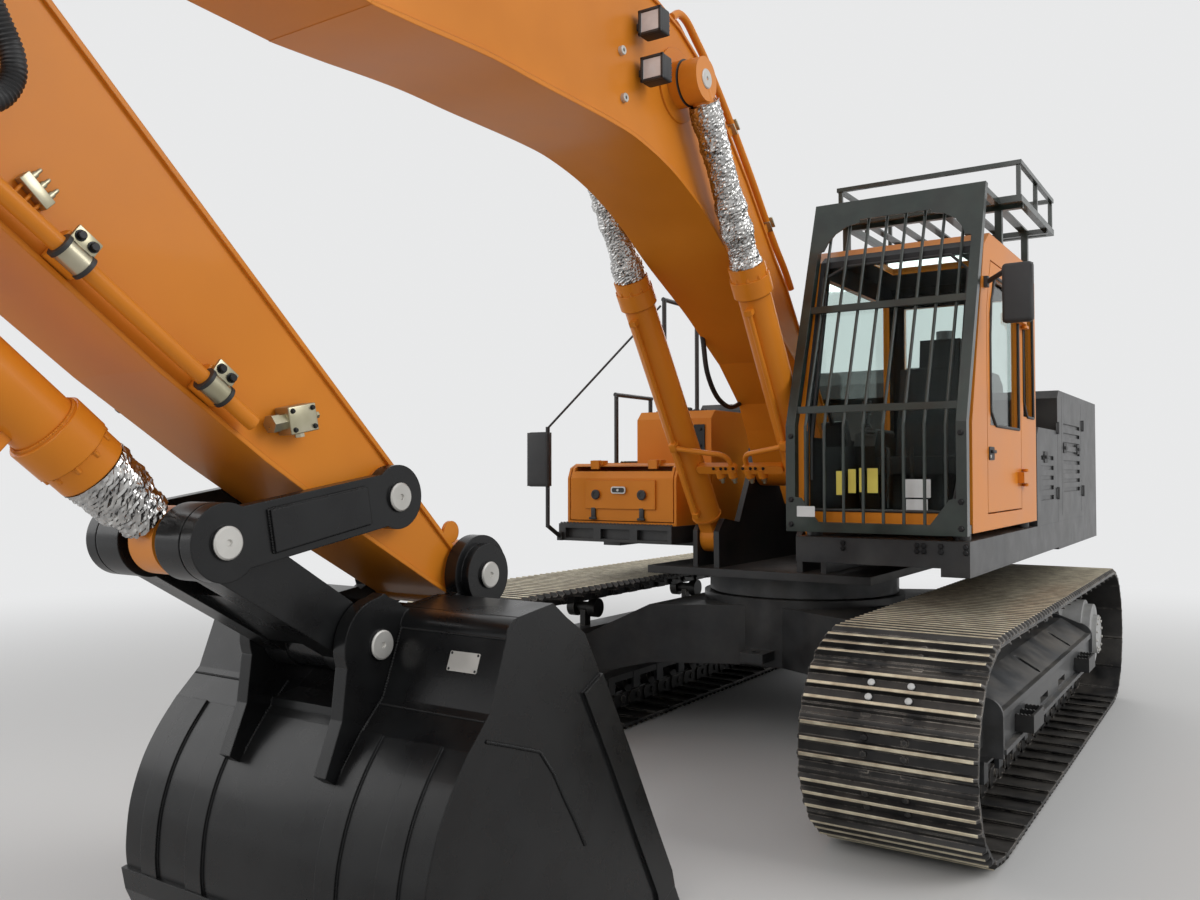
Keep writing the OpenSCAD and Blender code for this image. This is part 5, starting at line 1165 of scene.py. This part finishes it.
# Pipes along the boom's top, their clamps, and the hose loop behind the boom
boomPipeValues = {
    "rows": ((0.252, 0.021), (0.190, 0.017)), "lift": 0.080,
    "line": ((1.10, 0.870), (1.287, 0.955), (1.771, 1.215), (2.312, 1.465), (2.520, 1.540), (2.720, 1.567)), "clamps": (1.42, 2.02),
}


def makeBoomPipes(v):
    pipes, shells, brackets, screws = [[], []], bmesh.new(), bmesh.new(), []
    for (y, _), group in zip(v["rows"], pipes):
        for side in (-1, 1):
            points = [onBoom(s, h + v["lift"], side * y) for s, h in v["line"]]
            group.append([onBoom(0.98, 0.800 + v["lift"], side * y), *points, onBoom(2.80, 1.570, side * y)])
    for (y, radius), group in zip(v["rows"], pipes):
        hoses("boom_pipes_%d" % round(y * 1000), group, radius, "boom_body", "yellowPaint", step=0.03, sides=20)
    for s in v["clamps"]:
        for (s0, h0), (s1, h1) in zip(v["line"], v["line"][1:]):
            if s0 <= s < s1:
                h = h0 + (s - s0) * (h1 - h0) / (s1 - s0)
                d = (onBoom(s1, h1) - onBoom(s0, h0)).normalized()
        up = Vector((-d.z, 0, d.x))
        for side in (-1, 1):
            place = frameAt(onBoom(s, h + v["lift"], side * 0.221), up, d)
            crate(shells, place @ Matrix.Translation((0, 0, 0.024)), (0.070, 0.128, 0.010), 0.003)
            crate(shells, place @ Matrix.Translation((0, 0, -0.024)), (0.070, 0.128, 0.010), 0.003)
            crate(brackets, place @ Matrix.Translation((0, 0, -0.056)), (0.050, 0.080, 0.058), 0.003)
            screws += [place @ Matrix.Translation((a * 0.018, 0, 0.029)) for a in (-1, 1)]
    small = boltShape("pipeScrew", 0.009, 0.012)
    copies("boom_clamp_screws", small, screws, "boom_body", "boltBlack")
    bpy.data.objects.remove(small)
    keep(meshObject("boom_clamps", shells, 35), "boom_body", "zincFittings")
    keep(meshObject("boom_clamp_feet", brackets, 35), "boom_body", "yellowPaint", replaced=("boom_lines",))
    hoses("boom_hose", [[onBoom(1.20, 0.62, -0.262), onBoom(1.138, 0.546, -0.262), onBoom(0.966, 0.297, -0.260), onBoom(0.717, 0.210, -0.258),
                         onBoom(0.50, 0.290, -0.260), onBoom(0.402, 0.396, -0.262)]], 0.0165, "boom_body", "hoseRubber")
    rings = bmesh.new()
    for side in (-1, 1):
        lathe(rings, [(0.100, 0), (0.119, 0.0005), (0.121, 0.0028), (0.119, 0.0050), (0.100, 0.0055)],
              frameAt(jackEye + Vector((0, side * 0.3165, 0)), (0, side, 0)), 48)
    keep(meshObject("boom_boss_seals", rings, 40), "boom_body", "hoseRubber")


makeBoomPipes(boomPipeValues)
print("boom pipes done")

# Smooth plates over the belly of the boom, the back of the bucket and its wear straps
skinValues = {
    "belly": ((0.850, 0.450), (1.326, 0.581), (1.876, 0.681), (2.234, 0.764), (2.578, 0.799), (2.904, 0.777), (3.169, 0.720), (3.659, 0.577),
              (4.043, 0.465), (4.607, 0.259)),
    "back": ((0.618, -0.470), (0.700, -0.575), (0.764, -0.690), (0.808, -0.830), (0.822, -0.975), (0.816, -1.060)),
    "bellyHalf": 0.2685, "bellyLift": 0.0088, "backHalf": 0.7398, "backLift": 0.0012, "sunk": 0.012, "steps": 10, "overrun": 0.0015,
    "straps": (-0.590, -0.330, 0.330, 0.590), "strapHalf": 0.0456, "strapLift": 0.0104,
}


def skinPlate(bm, line, place, side, low, high, lift, v, taper):
    # Follows a smooth curve through the points of a flat outline; with taper its ends run out into the plate below
    line = [Vector(p) for p in line]
    spots = []
    for i in range(len(line) - 1):
        a, b, c, d = line[max(i - 1, 0)], line[i], line[i + 1], line[min(i + 2, len(line) - 1)]
        for k in range(v["steps"] + (i == len(line) - 2)):
            t = k / v["steps"]
            spots.append((b * 2 + (c - a) * t + (a * 2 - b * 5 + c * 4 - d) * t * t + (b * 3 - a - c * 3 + d) * t ** 3) / 2)
    spots[0] -= (line[1] - line[0]).normalized() * v["overrun"]
    spots[-1] += (line[-1] - line[-2]).normalized() * v["overrun"]
    rings = []
    for i, spot in enumerate(spots):
        d = (spots[min(i + 1, len(spots) - 1)] - spots[max(i - 1, 0)]).normalized()
        out = Vector((-d.y, d.x)) * side
        fromEnd = min(i, len(spots) - 1 - i) / v["steps"]
        rise = lift * (min(1.0, 0.15 + 1.7 * fromEnd) if taper else 1.0)
        rings.append([bm.verts.new(place(*(spot + out * h), y)) for h, y in ((rise, low), (rise, high), (-v["sunk"], high), (-v["sunk"], low))])
    for a, b in zip(rings, rings[1:]):
        for i in range(4):
            bm.faces.new((a[i], a[(i + 1) % 4], b[(i + 1) % 4], b[i]))
    bm.faces.new(rings[0][::-1])
    bm.faces.new(rings[-1])


def makeSkins(v):
    belly, back = bmesh.new(), bmesh.new()
    skinPlate(belly, v["belly"], onBoom, -1, -v["bellyHalf"], v["bellyHalf"], v["bellyLift"], v, True)
    keep(meshObject("boom_belly", belly, 30), "boom_body", "yellowPaint")

    def onBucket(x, z, y):
        return nosePin + Vector((x, y, z))

    skinPlate(back, v["back"], onBucket, 1, -v["backHalf"], v["backHalf"], v["backLift"], v, False)
    for y in v["straps"]:
        skinPlate(back, v["back"], onBucket, 1, y - v["strapHalf"], y + v["strapHalf"], v["strapLift"], v, False)
    keep(meshObject("bucket_back", back, 30), "bucket_body", "bucketBlack")


makeSkins(skinValues)
print("smooth plates done")

# Beads of weld on the levers, the bucket's ears and its side plates, and the bucket's blank data plate
def makeWelds():
    d = (linkPin - leverPin).normalized()
    n = Vector((-d.z, 0, d.x))
    far = (linkPin - leverPin).length - 0.160
    outline = [leverPin + d * a + n * b for a, b in ((0.150, -0.062), (far, -0.066), (far, 0.066), (0.150, 0.062), (0.150, -0.062))]
    weld("lever_beads", [[p + Vector((0, side * 0.2655, 0)) for p in outline] for side in (-1, 1)], "levers", "bucketBlack", 0.005)
    ear = ((0.400, -0.118), (0.436, -0.150), (0.520, -0.372), (0.618, -0.470), (0.700, -0.575), (0.722, -0.626))
    cheek = ((0.538, -0.454), (0.400, -0.500), (0.257, -0.549), (0.180, -0.640), (0.112, -0.748), (0.050, -0.840), (-0.011, -0.940))
    seams = [[nosePin + Vector((x, side * y, z)) for x, z in line] for side in (-1, 1)
             for y, line in ((0.273, ear), (0.212, ear[2:]), (0.7405, cheek))]
    weld("bucket_beads", seams, "bucket_body", "bucketBlack", 0.006)
    across = [[nosePin + Vector((x, side * 0.275, z)), nosePin + Vector((x, side * 0.735, z))] for side in (-1, 1)
              for x, z in ((0.436, -0.149), (0.540, -0.392))]
    weld("bucket_seams", across, "bucket_body", "bucketBlack", 0.004)
    plate, rivets = bmesh.new(), []
    place = frameAt(nosePin + Vector((0.4665, 0.585, -0.2325)), (0.935, 0, 0.354), (0, 1, 0))
    roundedPlate(plate, place, 0.128, 0.066, 0.0018, 0.005)
    keep(meshObject("bucket_data_plate", plate), "bucket_body", "pinSteel")
    rivet = boltShape("rivet", 0.0035, 0.002, 12)
    copies("data_plate_rivets", rivet, [place @ Matrix.Translation((a * 0.056, b * 0.026, 0.0018)) for a in (-1, 1) for b in (-1, 1)],
           "bucket_body", "boltBlack")
    bpy.data.objects.remove(rivet)


makeWelds()
print("welds done")

# Storage box: vents, catch and rubber straps on the lid, and the serrated treads
lidValues = {
    "panelX": 0.864, "vents": (-1.200, -0.820), "ventZ": 1.640, "catch": (-1.010, 1.6725), "straps": (-1.230, -0.830), "strapZ": 1.505,
    "toothPitch": 0.028, "toothHeight": 0.011,
}


def teeth(bm, place, length, pitch, height, t):
    count = int(length / pitch)
    outline = [(-length / 2, -0.006)] + [(length / 2, -0.006), (length / 2, 0.001)]
    for i in range(count, 0, -1):
        x = -length / 2 + length * i / count
        outline += [(x - pitch * 0.15, 0.001), (x - pitch * 0.30, height), (x - pitch * 0.70, height), (x - pitch * 0.85, 0.001)]
    outline.append((-length / 2, 0.001))
    prism(bm, outline, place, t)


def makeLidAndTreads(v):
    rubber, bright = bmesh.new(), bmesh.new()
    for y in v["vents"]:
        face = frameAt(at(0.8765, y, v["ventZ"]), (1, 0, 0), (0, 1, 0))
        lathe(rubber, [(0, 0.006), (0.016, 0.006), (0.018, 0.010), (0.030, 0.010), (0.035, 0.006), (0.035, -0.003)], face, 28)
    y, z = v["catch"]
    face = frameAt(at(0.8742, y, z), (1, 0, 0), (0, 1, 0))
    roundedPlate(bright, face, 0.120, 0.050, 0.006, 0.018)
    roundedPlate(rubber, face @ Matrix.Translation((0, 0, 0.0062)), 0.098, 0.032, 0.003, 0.012)
    lathe(bright, [(0, 0.014), (0.009, 0.014), (0.010, 0.010), (0.010, 0.008)], face, 16)
    for y in v["straps"]:
        crate(rubber, Matrix.Translation(at(0.858, y, v["strapZ"])), (0.016, 0.036, 0.086), 0.004)
        crate(rubber, Matrix.Translation(at(0.866, y, v["strapZ"] - 0.034)), (0.018, 0.060, 0.018), 0.005)
        crate(bright, Matrix.Translation(at(0.856, y, v["strapZ"] + 0.048)), (0.014, 0.050, 0.020), 0.002)
    keep(meshObject("lid_rubber", rubber, 30), "box_lid", "hoseRubber")
    keep(meshObject("lid_bright", bright, 30), "box_lid", "pinSteel")
    treads = bmesh.new()
    for x in (0.800, 0.842, 0.880, 0.913):
        teeth(treads, frameAt(at(x, -1.025, 1.430), (1, 0, 0), (0, 1, 0)), 0.915, v["toothPitch"], v["toothHeight"], 0.006)
    keep(meshObject("step_treads", treads), "house", "blackPaint")
    edges = bmesh.new()
    for side in (-1, 1):
        for x in (-0.950, 1.000):
            outer = side * (1.370 + 0.280 + 0.0873)
            teeth(edges, frameAt(at(x, outer + 0.007, 0.508), (0, -1, 0), (1, 0, 0)), 0.276, 0.0197, 0.006, 0.014)
            for dx in (-0.132, 0.0, 0.132):
                teeth(edges, frameAt(at(x + dx - 0.007, outer - side * 0.048, 0.508), (1, 0, 0), (0, 1, 0)), 0.078, 0.0195, 0.006, 0.014)
    keep(meshObject("frame_step_teeth", edges), "undercarriage", "blackPaint")


makeLidAndTreads(lidValues)
print("lid and treads done")

# Mirrors: rounded shells over the plain ones, glass at the back
def makeMirrors():
    shells, faces = bmesh.new(), bmesh.new()
    for middle, size in ((at(1.087, -1.541, 1.890), (0.058, 0.186, 0.388)), (at(1.1225, 1.685, 2.757), (0.062, 0.158, 0.322))):
        crate(shells, Matrix.Translation(middle), size, 0.022, 4)
        back = frameAt(middle - Vector((size[0] / 2 - 0.0005, 0, 0)), (-1, 0, 0), (0, 1, 0))
        roundedPlate(faces, back, size[1] - 0.030, size[2] - 0.030, 0.0015, 0.025)
    keep(meshObject("mirror_shells", shells, 35), "house", "darkPlastic")
    keep(meshObject("mirror_glass", faces), "house", "mirrorFace")


makeMirrors()
print("mirrors done")

# Cab: seals, blank labels, wiper, guard plate, door handle, monitor and arm rests
cabValues = {
    "glassX": 1.3183, "front": 1.330, "leanTop": (1.039, 3.020), "sides": (0.572, 1.415), "sill": 1.580, "seal": 0.009,
    # middle across, middle up, width, height
    "yellowLabels": ((0.764, 1.734, 0.050, 0.136), (0.8315, 1.745, 0.044, 0.135), (0.884, 1.751, 0.021, 0.135), (0.9495, 1.748, 0.060, 0.138)),
    "whiteLabels": ((1.1975, 1.706, 0.143, 0.100), (1.194, 1.6085, 0.117, 0.078)),
    "boltsUnder": (0.806, 1.216, 1.253, 1.342, 1.470),
}


def makeCab(v):
    x, (topX, topZ), (y0, y1), sill = v["front"] + 0.001, v["leanTop"], v["sides"], v["sill"]
    corners = [at(x, y0, sill), at(x, y1, sill), at(x, y1, 2.05), at(topX, y1, topZ), at(topX, y0, topZ), at(x, y0, 2.05), at(x, y0, sill)]
    rear = [at(a, 1.4915, b) for a, b in ((-0.33, 2.15), (-0.01, 2.15), (-0.01, 2.98), (-0.31, 2.98), (-0.33, 2.15))]
    hoses("window_seals", [corners, rear], v["seal"], "house", "hoseRubber", step=0.2, sides=8, handles="VECTOR")
    pane = [at(a, 1.4915, b) for a, b in ((0.14, 2.06), (0.905, 2.06), (0.905, 2.69), (0.805, 2.92), (0.14, 2.92), (0.14, 2.06))]
    hoses("door_seal", [pane], v["seal"], "cab_door", "hoseRubber", step=0.2, sides=8, handles="VECTOR")
    for finish, rows in (("labelYellow", v["yellowLabels"]), ("labelWhite", v["whiteLabels"])):
        labels = bmesh.new()
        for y, z, w, h in rows:
            roundedPlate(labels, frameAt(at(v["glassX"], y, z), (1, 0, 0), (0, 1, 0)), w, h, 0.0008, 0.003)
        if finish == "labelWhite":
            roundedPlate(labels, frameAt(at(1.4503, 0.6085, 1.574), (1, 0, 0), (0, 1, 0)), 0.107, 0.060, 0.0015, 0.004)
        keep(meshObject("blank_" + finish, labels), "house", finish)
    lean = v["front"] + (topX - v["front"]) * (2.86 - 2.05) / (topZ - 2.05)
    hoses("wiper", [[at(1.334, 0.600, 1.750), at(1.334, 0.600, 2.050), at(lean + 0.004, 0.600, 2.860)]], 0.008, "house", "darkPlastic", step=0.2, sides=8,
          handles="VECTOR")
    bolt = boltShape("frameBolt", 0.013, 0.013)
    spots = [frameAt(at(1.400, y, z), (1, 0, 0)) for y in v["boltsUnder"] for z in (1.402, 1.372)]
    spots += [frameAt(at(1.4505, y, z), (1, 0, 0)) for y in (0.520, 1.460) for z in (1.500, 1.640, 2.000)]
    copies("guard_bolts", bolt, spots, "house", "boltBlack")
    bpy.data.objects.remove(bolt)
    handle, grip = bmesh.new(), bmesh.new()
    face = frameAt(at(0.895, 1.4903, 1.900), (0, 1, 0), (1, 0, 0))
    roundedPlate(handle, face, 0.120, 0.074, 0.006, 0.014)
    crate(handle, face @ Matrix.Translation((-0.008, -0.010, 0.014)), (0.086, 0.020, 0.014), 0.005)
    lathe(grip, [(0, 0.010), (0.009, 0.010), (0.010, 0.006)], face @ Matrix.Translation((0.040, 0.018, 0)), 16)
    keep(meshObject("door_handle", handle, 35), "cab_door", "darkPlastic")
    keep(meshObject("door_lock", grip, 35), "cab_door", "pinSteel")
    inside = bmesh.new()
    screen = frameAt(at(1.100, 0.660, 2.020), (-0.86, 0.46, 0.20), (0.46, 0.86, 0))
    crate(inside, screen, (0.210, 0.150, 0.036), 0.012, 3)
    crate(inside, screen @ Matrix.Translation((0.0, -0.11, -0.02)), (0.030, 0.120, 0.020), 0.006)
    for s in (-1, 1):
        y = 0.9935 + s * 0.350
        crate(inside, Matrix.Translation(at(0.240, y, 2.045)), (0.340, 0.100, 0.060), 0.022, 3)
        lathe(inside, [(0.052, 0.0), (0.046, 0.012), (0.050, 0.022), (0.038, 0.034), (0.040, 0.044), (0.026, 0.056), (0.028, 0.064), (0.017, 0.074)],
              frameAt(at(0.500, y, 2.028), (0, 0, 1)), 24)
    crate(inside, Matrix.Translation(at(0.980, 0.9935, 1.528)), (0.420, 0.640, 0.014), 0.006)
    keep(meshObject("cab_fittings", inside, 35), "house", "darkPlastic")


makeCab(cabValues)
print("cab done")

# Hoses from the main valve to the swing motor, caps on the tanks, handles on the doors of the engine room, final drive bolts
deckValues = {
    "portX": -1.125, "portStep": 0.063, "portZ": 1.6400, "motorX": -0.430, "motorZ": 1.640, "hose": 0.014,
    "handles": ((-1.560, 1.980), (-2.200, 1.980), (-0.760, 1.900)),
    # from x, to x, from y, to y, height of the surface
    "pads": ((-0.250, 0.200, -1.440, -1.230, 1.870), (-0.240, -0.020, -1.080, -0.640, 2.250), (0.160, 0.260, -1.080, -0.640, 2.250)),
    # x, side, height of the lower and the upper hinge
    "hinges": ((-1.230, 1, 1.640, 2.120), (-2.420, 1, 1.640, 2.180), (-2.420, -1, 1.640, 2.180)),
}


def makeDeck(v):
    routes = []
    for side in (-1, 1):
        for i in range(6):
            x = v["portX"] + i * v["portStep"]
            y = side * 0.110
            rise = 0.070 + 0.022 * (i % 3)
            routes.append([at(x, y, v["portZ"] - 0.004), at(x, y, v["portZ"] + rise * 0.8), at(x + 0.10, y * (1.1 + 0.1 * i), v["portZ"] + rise),
                           at(-0.60, side * (0.13 + 0.014 * i), v["portZ"] + rise * 0.9), at(v["motorX"] - 0.06 + 0.022 * i, side * 0.205, v["motorZ"] + 0.03),
                           at(v["motorX"] - 0.05 + 0.020 * i, side * 0.148, v["motorZ"] + (0.02 if i % 2 else -0.02))])
    hoses("deck_hoses", routes, v["hose"], "house", "hoseRubber", step=0.02, sides=10)
    caps, covers, spots = bmesh.new(), bmesh.new(), []
    lathe(caps, [(0.046, 0), (0.048, 0.006), (0.048, 0.026), (0.042, 0.032), (0, 0.032)], Matrix.Translation(at(0.120, -1.000, 2.2999)), 18)
    lathe(caps, [(0.050, 0), (0.052, 0.006), (0.052, 0.020), (0.046, 0.026), (0, 0.026)], Matrix.Translation(at(-0.560, -1.250, 2.3099)), 18)
    for x, z in v["handles"]:
        for side in ((-1, 1) if x < -1.2 else (1,)):
            face = frameAt(at(x, side * 1.4903, z), (0, side, 0), (1, 0, 0))
            roundedPlate(covers, face, 0.130, 0.080, 0.005, 0.015)
            crate(covers, face @ Matrix.Translation((0, 0, 0.010)), (0.090, 0.024, 0.012), 0.005)
    spots += [Matrix.Translation(at(-0.800 + 0.098 * math.cos(a), -1.000 + 0.098 * math.sin(a), 2.2899)) for a in (math.tau * k / 8 for k in range(8))]
    pads = bmesh.new()
    for x0, x1, y0, y1, z in v["pads"]:
        for k in range(int((y1 - y0) / 0.034)):
            y = y0 + 0.020 + k * 0.034
            teeth(pads, frameAt(at((x0 + x1) / 2, y, z + 0.0055), (0, 1, 0), (-1, 0, 0)), x1 - x0, 0.034, 0.009, 0.006)
    keep(meshObject("anti_slip_pads", pads), "house", "blackPaint")
    hinges = bmesh.new()
    for x, side, z0, z1 in v["hinges"]:
        for z in (z0, z1):
            lathe(hinges, [(0, -0.045), (0.013, -0.045), (0.013, 0.045), (0, 0.045)], frameAt(at(x, side * 1.494, z), (0, 0, 1)), 14)
            crate(hinges, Matrix.Translation(at(x, side * 1.4915, z)), (0.086, 0.006, 0.070), 0.002)
    keep(meshObject("room_door_hinges", hinges, 30), "house", "blackPaint")
    plate = frameAt(at(0.330, -0.655, 2.050), (1, 0, 0), (0, 1, 0))
    roundedPlate(caps, plate, 0.088, 0.190, 0.010, 0.006)
    spots += [plate @ Matrix.Translation((0.010, b * 0.060, 0.010)) for b in (-1, 1)]
    bolt = boltShape("tankBolt", 0.011, 0.011)
    copies("tank_bolts", bolt, spots, "house", "boltBlack")
    keep(meshObject("tank_caps", caps, 30), "house", "boltBlack")
    keep(meshObject("door_pulls", covers, 30), "house", "darkPlastic")
    ring = []
    for side in (-1, 1):
        for k in range(12):
            a = math.tau * (k + 0.5) / 12
            ring.append(frameAt(at(-1.980 + 0.128 * math.cos(a), side * 1.6549, 0.520 + 0.128 * math.sin(a)), (0, side, 0)))
    copies("final_drive_bolts", bolt, ring, "undercarriage", "pinSteel")
    bpy.data.objects.remove(bolt)


makeDeck(deckValues)
print("deck done")
